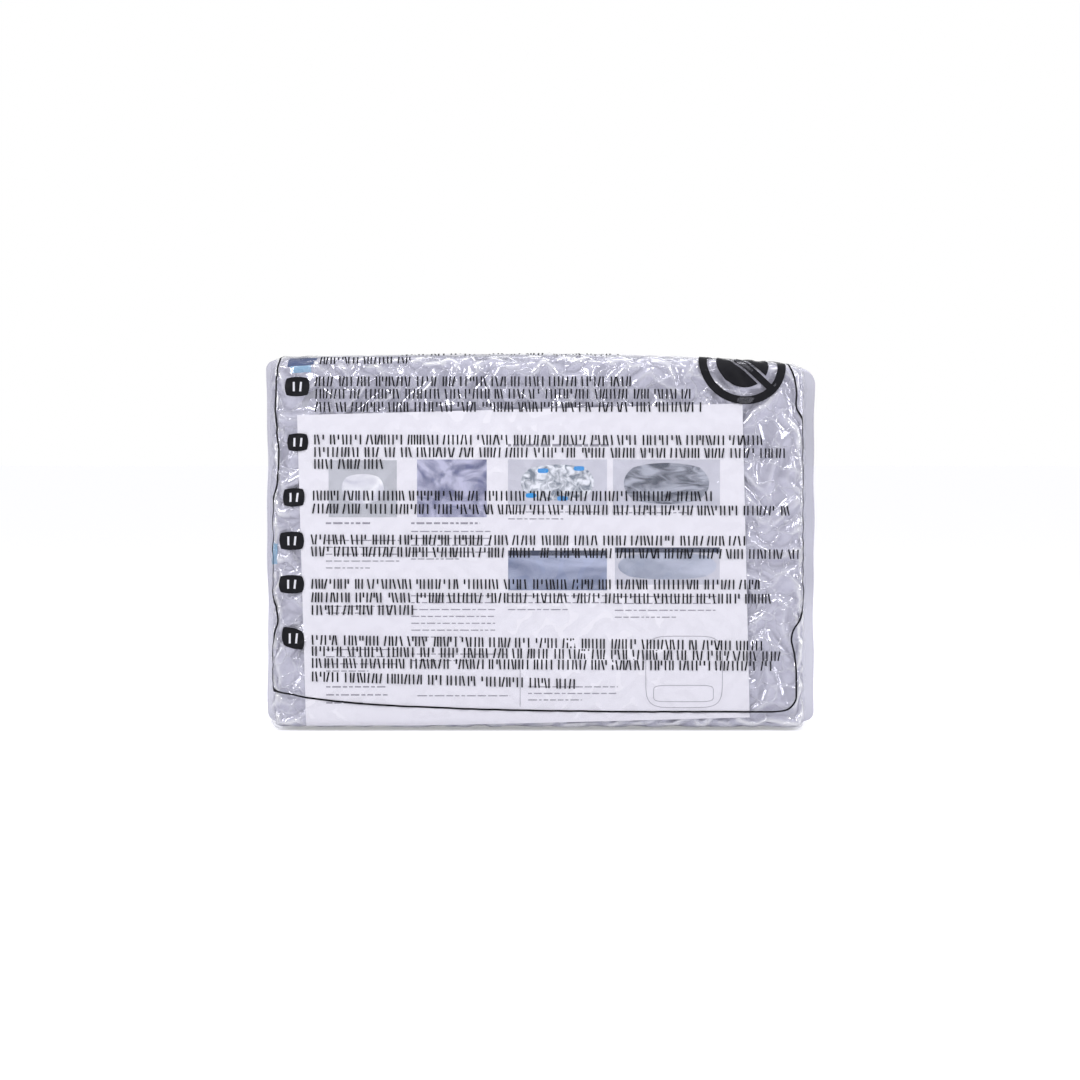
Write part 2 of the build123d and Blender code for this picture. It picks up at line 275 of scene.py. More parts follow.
class Film:
    """One film round the pack: where it lies and how it is creased."""

    def __init__(self, inset, creases=None, folds=()):
        self.low = (-BODY_X, FRONT_Y, 0.0)
        self.high = (BODY_X, BACK_Y, HEIGHT)
        self.inset = inset
        self.creases = creases
        self.folds = folds

    def place(self, cube, lift=0.0):
        """Points of the film for cube points, lifted off it along its normals."""
        points, normals = wrapped(cube, self.low, self.high, self.inset)
        if self.creases:
            points = points + self.creases.moves(points, normals)
            rise = self.fold_rise(points) * np.clip(-normals[:, 1], 0, 1)
            points = points + normals * rise[:, None]
        points = points + normals * np.reshape(lift, (-1, 1))
        return settled(points)

    def fold_rise(self, points):
        """How far the long folds on the front lift the film; a hollow lies beside each ridge."""
        rise = np.zeros(len(points))
        for x0, z0, x1, z1, width, height in self.folds:
            run = np.array([x1 - x0, z1 - z0])
            length = np.hypot(*run)
            run = run / length
            gap = points[:, [0, 2]] - (x0, z0)
            along = gap @ run / length
            bow = 0.03 * length * np.sin(along * math.pi)
            off = (gap[:, 1] * run[0] - gap[:, 0] * run[1] - bow) / width
            reach = smooth(np.clip(np.minimum(along, 1 - along) * 3, 0, 1))
            rise += height * reach * (np.exp(-(off**2)) - 0.6 * np.exp(-((off - 1.7) ** 2)))
        return rise

    def cube_at(self, u, s):
        """Cube points for u round the front and ends and s up the front and over the top."""
        reach = EDGE_TOP - self.inset
        start = HEIGHT - EDGE_TOP
        turn = np.clip((s - start) / reach, 0, math.pi / 2)
        rising = turn <= math.pi / 4
        z = np.where(s < start, s, start + reach * np.tan(np.minimum(turn, math.pi / 4)))
        over = reach * (1 - np.tan(math.pi / 2 - np.maximum(turn, math.pi / 4)))
        over += np.maximum(s - start - reach * math.pi / 2, 0)
        y = np.where(rising, 0.0, over) + self.low[1] + self.inset
        y = y + np.maximum(np.abs(u) - BODY_X, 0)
        return np.stack([np.clip(u, -BODY_X, BODY_X), y, z], 1)

    def net_at(self, x, z):
        """The u and s at which the film shows at x and z from the front."""
        level = np.minimum(z, 236.0)
        u, s = np.array(x, float), np.array(level, float)
        for _ in range(8):
            points = self.place(self.cube_at(u, s))
            u = np.clip(u + x - points[:, 0], -BODY_X + 0.1, BODY_X - 0.1)
            s = s + level - points[:, 2]
        return u, s + z - level


def grid(rows, columns):
    """Quads of a net with that many points up and across."""
    index = np.arange(rows * columns).reshape(rows, columns)
    a, b = index[:-1, :-1].ravel(), index[:-1, 1:].ravel()
    c, d = index[1:, 1:].ravel(), index[1:, :-1].ravel()
    return np.stack([a, b, c, d], 1)


def net(first, second, spacing):
    """Values of two directions as a full net: (flat first, flat second, rows, columns)."""
    n = max(int(round(abs(first[1] - first[0]) / spacing)), 1) + 1
    m = max(int(round(abs(second[1] - second[0]) / spacing)), 1) + 1
    a, b = np.meshgrid(np.linspace(*first, n), np.linspace(*second, m), indexing="ij")
    return a.ravel(), b.ravel(), n, m


def cube_patch(side, first, second, spacing, low, high):
    """A net on one side of the cube, its quads facing outwards.

    The two directions are (z, x) on the front and back, (z, y) on the ends and (y, x) on
    the top and base.
    """
    a, b, n, m = net(first, second, spacing)
    quads = grid(n, m)
    fixed = {
        "front": (1, low[1]), "back": (1, high[1]), "left": (0, low[0]),
        "right": (0, high[0]), "base": (2, low[2]), "top": (2, high[2]),
    }[side]
    axes = {"front": (2, 0), "back": (2, 0), "left": (2, 1), "right": (2, 1)}.get(side, (1, 0))
    points = np.zeros((len(a), 3))
    points[:, axes[0]], points[:, axes[1]] = a, b
    points[:, fixed[0]] = fixed[1]
    if side in ("back", "left", "base"):
        quads = quads[:, ::-1]
    return points, quads


def joined(patches):
    """Several (points, quads) as one."""
    points, quads, count = [], [], 0
    for p, q in patches:
        points.append(p)
        quads.append(q + count)
        count += len(p)
    return np.concatenate(points), np.concatenate(quads)


# ---- meshes ---------------------------------------------------------------------------
def made_mesh(name, points, faces, merge=0.0, shade=True):
    """An object at the origin from points in millimetres; merge welds the patches' rims."""
    mesh = bpy.data.meshes.new(name)
    mesh.from_pydata((np.asarray(points) * MM).tolist(), [], np.asarray(faces).tolist())
    if merge:
        shape = bmesh.new()
        shape.from_mesh(mesh)
        bmesh.ops.remove_doubles(shape, verts=shape.verts, dist=merge * MM)
        shape.to_mesh(mesh)
        shape.free()
    mesh.validate()
    mesh.polygons.foreach_set("use_smooth", [shade] * len(mesh.polygons))
    mesh.update()
    piece = bpy.data.objects.new(name, mesh)
    bpy.context.scene.collection.objects.link(piece)
    return piece


def coordinates(piece):
    """The vertices of a piece, in millimetres."""
    flat = np.empty(len(piece.data.vertices) * 3)
    piece.data.vertices.foreach_get("co", flat)
    return flat.reshape(-1, 3) / MM


def note(piece, name, values):
    """Writes one number per vertex as an attribute that materials read."""
    attribute = piece.data.attributes.new(name, "FLOAT", "POINT")
    attribute.data.foreach_set("value", np.asarray(values, np.float32))


ROUND_BEND = 0.08  # the pack's rounded edges bend this much a millimetre, and are no creases


def mark_creases(piece, reach=1, hem=None):
    """Notes how sharply the film bends at each vertex: above 0.5 on ridges, below in valleys.

    A hem, from 0 to 1 at each vertex, counts as a ridge: the film is doubled there.
    """
    points = coordinates(piece)
    edges = np.empty(len(piece.data.edges) * 2, int)
    piece.data.edges.foreach_get("vertices", edges)
    edges = edges.reshape(-1, 2)
    normals = np.empty(len(points) * 3)
    piece.data.vertices.foreach_get("normal", normals)
    normals = normals.reshape(-1, 3)
    bend = np.zeros(len(points))
    count = np.zeros(len(points))
    gap = points[edges[:, 1]] - points[edges[:, 0]]
    length = np.linalg.norm(gap, axis=1) + 1e-6
    turn = ((normals[edges[:, 1]] - normals[edges[:, 0]]) * gap).sum(1) / length**2
    for k in (0, 1):
        np.add.at(bend, edges[:, k], turn)
        np.add.at(count, edges[:, k], 1)
    bend /= np.maximum(count, 1)
    for _ in range(reach):
        total = np.zeros(len(points))
        for k in (0, 1):
            np.add.at(total, edges[:, k], bend[edges[:, 1 - k]])
        bend = 0.5 * bend + 0.5 * total / np.maximum(count, 1)
    sharp = np.sign(bend) * np.maximum(np.abs(bend) - ROUND_BEND, 0)
    crease = 0.5 + 0.5 * np.tanh(sharp * 3.6)
    note(piece, "crease", crease if hem is None else np.maximum(crease, 0.9 * hem))


def mark_haze_and_shade(piece, haze_and_shade):
    """Notes how loose the film is at each vertex, 0 where it is drawn tight and 1 where loose: loose film
    is less clear and duller, and painted a darker grey as painted shade.
    """
    note(piece, "haze_and_shade", np.broadcast_to(haze_and_shade, len(piece.data.vertices)).astype(float))


def dress(piece, material):
    """Gives a piece its material."""
    piece.data.materials.clear()
    piece.data.materials.append(material)
    return piece


def deselect():
    for piece in bpy.context.selected_objects:
        piece.select_set(False)


# ---- materials ------------------------------------------------------------------------
def node(tree, kind, **values):
    """A node of a kind, with its settings and the defaults of its named inputs."""
    made = tree.nodes.new(kind)
    for key, value in values.items():
        if hasattr(made, key):
            setattr(made, key, value)
        else:
            made.inputs[key.replace("_", " ")].default_value = value
    return made


def group_of(name, inputs, output):
    """An empty node group: (group, its input node, its output node), or None if it exists."""
    if name in bpy.data.node_groups:
        return None
    group = bpy.data.node_groups.new(name, "ShaderNodeTree")
    for label, default in inputs:
        socket = group.interface.new_socket(label, in_out="INPUT", socket_type="NodeSocketFloat")
        socket.default_value = default
    group.interface.new_socket(output, in_out="OUTPUT", socket_type="NodeSocketFloat")
    return group, group.nodes.new("NodeGroupInput"), group.nodes.new("NodeGroupOutput")


def ripple_group():
    """Fine waviness of thin film or paper: a height for a Bump node."""
    made = group_of("surface_ripple", (("Scale", 60.0), ("Distortion", 0.8)), "Height")
    if made:
        group, inputs, outputs = made
        place = group.nodes.new("ShaderNodeTexCoord")
        noise = node(group, "ShaderNodeTexNoise", Detail=3.0, Roughness=0.6)
        group.links.new(place.outputs["Object"], noise.inputs["Vector"])
        group.links.new(inputs.outputs["Scale"], noise.inputs["Scale"])
        group.links.new(inputs.outputs["Distortion"], noise.inputs["Distortion"])
        group.links.new(noise.outputs["Fac"], outputs.inputs["Height"])
    return bpy.data.node_groups["surface_ripple"]


def foil_group():
    """Thin sharp creases between small flat patches: 1 on a crease, falling to 0 beside it."""
    made = group_of("foil_creases", (("Scale", 85.0), ("Sway", 0.016)), "Height")
    if made:
        group, inputs, outputs = made
        place = group.nodes.new("ShaderNodeTexCoord")
        noise = node(group, "ShaderNodeTexNoise", Scale=70.0, Detail=2.0)
        sway = node(group, "ShaderNodeVectorMath", operation="SCALE")
        moved = node(group, "ShaderNodeVectorMath", operation="ADD")
        cells = node(group, "ShaderNodeTexVoronoi", feature="DISTANCE_TO_EDGE")
        near = node(group, "ShaderNodeMapRange", interpolation_type="SMOOTHERSTEP")
        near.inputs["From Max"].default_value = 0.07
        near.inputs["To Min"].default_value = 1.0
        near.inputs["To Max"].default_value = 0.0
        link = group.links.new
        link(place.outputs["Object"], noise.inputs["Vector"])
        link(noise.outputs["Color"], sway.inputs[0])
        link(inputs.outputs["Sway"], sway.inputs["Scale"])
        link(place.outputs["Object"], moved.inputs[0])
        link(sway.outputs[0], moved.inputs[1])
        link(moved.outputs[0], cells.inputs["Vector"])
        link(inputs.outputs["Scale"], cells.inputs["Scale"])
        link(cells.outputs["Distance"], near.inputs["Value"])
        link(near.outputs["Result"], outputs.inputs["Height"])
    return bpy.data.node_groups["foil_creases"]


def weave_group():
    """Crossing yarns of a cloth or ribbon: a height from 0 to 1."""
    made = group_of("yarn_weave", (("Yarns", 900.0),), "Height")
    if made:
        group, inputs, outputs = made
        place = group.nodes.new("ShaderNodeTexCoord")
        heights = []
        for direction in ("X", "Z"):
            wave = node(group, "ShaderNodeTexWave", bands_direction=direction, Distortion=0.6)
            group.links.new(place.outputs["Object"], wave.inputs["Vector"])
            group.links.new(inputs.outputs["Yarns"], wave.inputs["Scale"])
            heights.append(wave.outputs["Fac"])
        most = node(group, "ShaderNodeMath", operation="MAXIMUM")
        group.links.new(heights[0], most.inputs[0])
        group.links.new(heights[1], most.inputs[1])
        group.links.new(most.outputs[0], outputs.inputs["Height"])
    return bpy.data.node_groups["yarn_weave"]


def new_material(name, roughness, metallic=0.0, alpha=1.0):
    """An empty material with its Principled shader: (material, tree, shader)."""
    material = bpy.data.materials.new(name)
    material.use_nodes = True
    tree = material.node_tree
    shader = tree.nodes["Principled BSDF"]
    shader.inputs["Roughness"].default_value = roughness
    shader.inputs["Metallic"].default_value = metallic
    shader.inputs["Alpha"].default_value = alpha
    return material, tree, shader


def ramp(tree, source, stops):
    """A colour or value ramp: stops are (place, grey or colour)."""
    made = tree.nodes.new("ShaderNodeValToRGB")
    while len(made.color_ramp.elements) < len(stops):
        made.color_ramp.elements.new(0.5)
    for element, (place, value) in zip(made.color_ramp.elements, stops):
        element.position = place
        colour = (value, value, value) if isinstance(value, (int, float)) else tuple(value)
        element.color = (*colour[:3], 1)
    tree.links.new(source, made.inputs["Fac"])
    return made.outputs["Color"]


def bumped(tree, shader, height, strength, distance):
    raised = node(tree, "ShaderNodeBump", Strength=strength, Distance=distance)
    tree.links.new(height, raised.inputs["Height"])
    tree.links.new(raised.outputs["Normal"], shader.inputs["Normal"])


CREASE_PLACES = (0.32, 0.5, 0.7)  # valley, flat and ridge: valleys are painted darker as painted shade, ridges paler as painted highlight and partly the whitening of creased film
# painted shade: loose film is painted this darker grey so that the clear film shows against the white
# floor and backdrop
LOOSE_SHADE_COLOUR = (0.30, 0.31, 0.40, 1)
LOOSE_ALPHA = 0.30  # how much less clear loose film is
LOOSE_SHADE_SHARE = 0.88  # how much of its colour loose film takes from the darker painted shade colour above
LOOSE_GLEAM = (("Metallic", 0.0), ("Roughness", 0.42), ("Specular IOR Level", 0.1))


def film_material(name, colours, clearness, roughness, metallic, ripple, bump, foil=0.0):
    """Film whose colour and clearness follow its creases: painted shade in the valleys and painted
    highlight on the ridges, partly the whitening of creased film. Loose film is less clear and duller, and
    painted a darker grey as painted shade.
    """
    material, tree, shader = new_material(name, roughness, metallic)
    link = tree.links.new
    crease = node(tree, "ShaderNodeAttribute", attribute_name="crease").outputs["Fac"]
    # painted shade and painted highlight: the colour ramp darkens the valleys and pales the ridges, and
    # the clearness ramp below makes ridges and valleys less clear
    colour = ramp(tree, crease, list(zip(CREASE_PLACES, colours)))
    haze_and_shade = node(tree, "ShaderNodeAttribute", attribute_name="haze_and_shade").outputs["Fac"]
    opacity = node(tree, "ShaderNodeMath", operation="MULTIPLY_ADD", use_clamp=True)
    link(haze_and_shade, opacity.inputs[0])
    opacity.inputs[1].default_value = LOOSE_ALPHA
    link(ramp(tree, crease, list(zip(CREASE_PLACES, clearness))), opacity.inputs[2])
    link(opacity.outputs[0], shader.inputs["Alpha"])
    # loose film has none of the gleam of tight film
    for (socket, loose), tight in zip(LOOSE_GLEAM, (metallic, roughness, 0.5)):
        gleam = node(tree, "ShaderNodeMath", operation="MULTIPLY_ADD", use_clamp=True)
        link(haze_and_shade, gleam.inputs[0])
        gleam.inputs[1].default_value = loose - tight
        gleam.inputs[2].default_value = tight
        link(gleam.outputs[0], shader.inputs[socket])
    # painted shade: loose film's colour is mixed towards the darker grey above
    share = node(tree, "ShaderNodeMath", operation="MULTIPLY")
    link(haze_and_shade, share.inputs[0])
    share.inputs[1].default_value = LOOSE_SHADE_SHARE
    loose_shade = node(tree, "ShaderNodeMix", data_type="RGBA")
    link(share.outputs[0], loose_shade.inputs[0])
    link(colour, loose_shade.inputs[6])
    loose_shade.inputs[7].default_value = LOOSE_SHADE_COLOUR
    colour = loose_shade.outputs[2]
    waves = node(tree, "ShaderNodeGroup", node_tree=ripple_group(), Scale=ripple)
    height = waves.outputs["Height"]
    if foil:
        lines = node(tree, "ShaderNodeGroup", node_tree=foil_group())
        # painted highlight, partly the whitening of creased film: the fine crease lines are painted paler,
        # towards the ridge colour, as well as adding to the bump height
        share = ramp(tree, lines.outputs["Height"], [(0.2, 0.0), (1.0, 0.32)])
        crease_whitening_and_highlight = node(tree, "ShaderNodeMix", data_type="RGBA")
        link(share, crease_whitening_and_highlight.inputs[0])
        link(colour, crease_whitening_and_highlight.inputs[6])
        crease_whitening_and_highlight.inputs[7].default_value = (*colours[2][:3], 1)
        colour = crease_whitening_and_highlight.outputs[2]
        both = node(tree, "ShaderNodeMath", operation="MULTIPLY_ADD")
        link(lines.outputs["Height"], both.inputs[0])
        both.inputs[1].default_value = foil
        link(height, both.inputs[2])
        height = both.outputs[0]
    link(colour, shader.inputs["Base Color"])
    bumped(tree, shader, height, bump, 0.0006)
    return material


def plain_material(name, colour, roughness, scale=200.0, bump=0.0, metallic=0.0, alpha=1.0, vary=0.08):
    """A quiet surface with a faint grain in its colour and height."""
    material, tree, shader = new_material(name, roughness, metallic, alpha)
    grain = node(tree, "ShaderNodeGroup", node_tree=ripple_group(), Scale=scale, Distortion=0.0)
    darker = tuple(c * (1 - vary) for c in colour)
    stops = [(0.35, darker), (0.65, colour)]
    tree.links.new(ramp(tree, grain.outputs["Height"], stops), shader.inputs["Base Color"])
    if bump:
        bumped(tree, shader, grain.outputs["Height"], bump, 0.0004)
    return material


def cloth_material(name, colour, yarns, bump):
    """Woven or knitted cloth."""
    material, tree, shader = new_material(name, 0.85)
    shader.inputs["Sheen Weight"].default_value = 0.25
    weave = node(tree, "ShaderNodeGroup", node_tree=weave_group(), Yarns=yarns)
    darker = tuple(c * 0.8 for c in colour)
    stops = [(0.1, darker), (0.8, colour)]
    tree.links.new(ramp(tree, weave.outputs["Height"], stops), shader.inputs["Base Color"])
    bumped(tree, shader, weave.outputs["Height"], bump, 0.0003)
    return material


def folds_material(name, dark, light, scale, distortion, turn=0.6, stretch=(1, 1, 1)):
    """A printed picture of soft folds."""
    material, tree, shader = new_material(name, 0.45)
    place = tree.nodes.new("ShaderNodeTexCoord")
    mapping = node(tree, "ShaderNodeMapping")
    mapping.inputs["Rotation"].default_value = (0, turn, 0)
    mapping.inputs["Scale"].default_value = stretch
    tree.links.new(place.outputs["Object"], mapping.inputs["Vector"])
    noise = node(tree, "ShaderNodeTexNoise", Scale=scale, Detail=2.5, Distortion=distortion)
    tree.links.new(mapping.outputs["Vector"], noise.inputs["Vector"])
    middle = tuple((a + b) / 2 for a, b in zip(dark, light))
    stops = [(0.36, dark), (0.5, middle), (0.62, light)]
    tree.links.new(ramp(tree, noise.outputs["Fac"], stops), shader.inputs["Base Color"])
    return material


def repaint(name, material):
    """Gives a CAD node that stays its own finish."""
    piece = bpy.data.objects[name]
    if not piece.data.materials:
        piece.data.materials.append(material)
    for index in range(len(piece.data.materials)):
        piece.data.materials[index] = material


# ---- settings ---------------------------------------------------------------------------
class PILLOWPACK_PG_films(bpy.types.PropertyGroup):
    """Creases and tints of the bag and the wrapper"""

    wrapper_depth: FloatProperty(
        name="Wrapper crease depth", description="How deep the vacuum wrapper is crumpled",
        default=0.0036, min=0.0005, max=0.006, unit="LENGTH",
    )
    bag_depth: FloatProperty(
        name="Bag crease depth", description="How deep the outer bag is creased",
        default=0.001, min=0.0001, max=0.0015, unit="LENGTH",
    )
    wrapper_tint: FloatVectorProperty(
        name="Wrapper tint", description="Colour of the smooth parts of the wrapper",
        default=(0.60, 0.595, 0.70), min=0, max=1, subtype="COLOR",
    )
    bag_tint: FloatVectorProperty(
        name="Bag tint", description="Colour of the bag's film",
        default=(0.84, 0.84, 0.92), min=0, max=1, subtype="COLOR",
    )


class PILLOWPACK_PG_print(bpy.types.PropertyGroup):
    """The printing on the bag"""

    ink: FloatVectorProperty(
        name="Ink", description="Colour of the printing",
        default=(0.006, 0.006, 0.009), min=0, max=1, subtype="COLOR",
    )
    mark_height: FloatProperty(
        name="Mark height", description="Height of the marks in a printed line",
        default=0.0066, min=0.001, max=0.02, unit="LENGTH",
    )
    mark_width: FloatProperty(
        name="Mark width", description="Width of one printed stroke",
        default=0.00098, min=0.0002, max=0.003, unit="LENGTH",
    )


class PILLOWPACK_PG_stage(bpy.types.PropertyGroup):
    """The floor, lights and camera"""

    lens: FloatProperty(
        name="Lens", description="Focal length of the camera, in millimetres",
        default=85.0, min=20, max=200,
    )
    elevation: FloatProperty(
        name="Elevation", description="How far the camera looks down",
        default=math.radians(2.0), subtype="ANGLE",
    )
    light_power: FloatProperty(
        name="Light power", description="Power of the softboxes, as a share of the usual",
        default=1.0, min=0, max=10, subtype="FACTOR",
    )


# long folds on the bag's front: from x, z to x, z, then width and height
LONG_FOLDS = (
    (166, 218, 168, 120, 1.5, 0.7), (168, 128, 163, 40, 1.6, 0.7), (148, 62, 172, 96, 1.3, 0.6),
    (150, 34, 170, 66, 1.2, 0.6), (140, 232, 170, 200, 1.6, 0.6), (-172, 236, -128, 246, 1.4, 0.6),
    (-171, 200, -150, 216, 1.2, 0.6), (-173, 170, -152, 184, 1.2, 0.5), (-172, 78, -148, 96, 1.3, 0.6),
    (-174, 44, -140, 66, 1.4, 0.6), (-168, 8, -120, 22, 1.6, 0.5), (60, 210, 118, 236, 1.5, 0.5),
    (-60, 246, 40, 236, 1.8, 0.5), (80, 180, 150, 150, 2.2, 0.35), (-120, 70, -20, 96, 2.4, 0.3),
    (20, 30, 120, 60, 2.2, 0.3), (-40, 200, 60, 214, 2.0, 0.3),
)


# ---- the films that the operators share -------------------------------------------------
_shared = {}


def shared_film(name, settings):
    """The bag's, the wrapper's and the paper's surfaces, made once."""
    if name not in _shared:
        fine = 1.2
        if name == "bag":
            depth = settings.bag_depth / MM
            creases = Creases(
                depth, depth, (0.004, 0.007, 0.010), (10, 5, 2.5), (200, 120, 60), 0.75, 11
            )
            _shared[name] = Film(0.9, creases, LONG_FOLDS)
        elif name == "wrapper":
            depth = settings.wrapper_depth / MM
            creases = Creases(
                depth, 0.7 * depth, (0.045, 0.055, 0.06), (4.6, 2.3, fine), (150, 120, 80), 0.25, 3
            )
            _shared[name] = Film(2.3, creases)
        else:
            _shared[name] = Film(1.95)
    return _shared[name]


def bag_film(context):
    return shared_film("bag", context.scene.pillowpack_films)


def wrapper_film(context):
    return shared_film("wrapper", context.scene.pillowpack_films)


MIDDLE_Y = 0.0  # the welds lie here


def end_wall(side):
    """Where the film's end wall lies at that side."""
    return BODY_X + (LEFT_SPREAD if side < 0 else RIGHT_SPREAD)


def weld_y(side, z, share):
    """The slow wave of a welded margin; share runs out over its width."""
    return MIDDLE_Y + share * (0.9 * np.sin(z / 19.0 + side) + 0.3 * np.sin(z / 8.0))


def fold_with_flap(piece):
    """Bakes the piece's placement into its mesh. The piece is on the front at its foot and on the flap's
    top at its head.
    """
    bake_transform(piece)
    return piece


# ---- pieces: wrapper ----------------------------------------------------------------------
class PILLOWPACK_OT_wrapper(bpy.types.Operator):
    """Build the crinkled vacuum wrapper and the strips of tape on it"""

    bl_idname = "pillowpack.wrapper"
    bl_label = "Vacuum Wrapper"

    def execute(self, context):
        film = wrapper_film(context)
        spacing = 1.45
        low, high = film.low, film.high
        tint = context.scene.pillowpack_films.wrapper_tint
        # painted shade in the creases' valleys (dark) and painted highlight on their ridges (light),
        # partly the whitening of creased film
        dark = [c * 0.58 for c in tint]
        light = [c + (0.94 - c) * 0.75 for c in tint]
        material = film_material(
            "wrapper_film", (dark, tint, light), (0.96, 0.92, 0.97), 0.14, 0.3, 120.0, 0.55, 1.0
        )
        tapes = self.tapes(film)
        for name, ends, face, node_name in (
            ("vacuum_wrapper_front", (low[1], MIDDLE_Y), "front", "wrapper_front_film"),
            ("vacuum_wrapper_back", (MIDDLE_Y, high[1]), "back", "wrapper_back_film"),
        ):
            patches = [cube_patch(face, (0, HEIGHT), (low[0], high[0]), spacing, low, high)]
            for side in ("left", "right"):
                patches.append(cube_patch(side, (0, HEIGHT), ends, spacing, low, high))
            for side in ("top", "base"):
                patches.append(cube_patch(side, ends, (low[0], high[0]), spacing, low, high))
            cube, quads = joined(patches)
            piece = made_mesh(name, film.place(cube), quads, merge=0.05)
            mark_creases(piece)
            dress(piece, material)
            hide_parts(node_name)
            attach(piece, "pack")
        return {"FINISHED"}

    def tapes(self, film):
        navy = plain_material("tape_navy", (0.012, 0.045, 0.16), 0.3, 90.0, 0.1)
        sky = plain_material("tape_sky", (0.30, 0.56, 0.80), 0.3, 90.0, 0.1, alpha=0.75)
        top = HEIGHT - EDGE_TOP
        strips = (
            ("tape_top_navy", navy, "tape_navy", "front", (-162, -145), (top + 4.2, top + 95)),
            ("tape_top_sky", sky, "tape_sky", "front", (-160, -147), (top - 1.0, top + 4.0)),
            ("tape_side_sky", sky, "tape_sky", "front", (-BODY_X - 26, -170), (113, 127)),
            ("tape_back_sky", sky, "tape_sky", "back", (-30, 30), (119.5, 136.5)),
        )
        replaced = {
            "tape_top_navy": "wrapper_tape_top",
            "tape_side_sky": "wrapper_tape_side",
            "tape_back_sky": "wrapper_tape_back",
        }
        made = {"front": [], "back": []}
        for name, material, slot, face, across, up in strips:
            s, u, n, m = net(up, across, 1.5)
            quads = grid(n, m)
            if face == "front":
                cube = film.cube_at(u, s)
            else:
                cube = np.stack([u, np.full_like(u, film.high[1]), s], 1)
                quads = quads[:, ::-1]
            piece = made_mesh(name, film.place(cube, 0.35), quads)
            dress(piece, material)
            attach(piece, "pack")
            if name in replaced:
                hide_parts(replaced[name])
            made[face].append(piece)
        return made


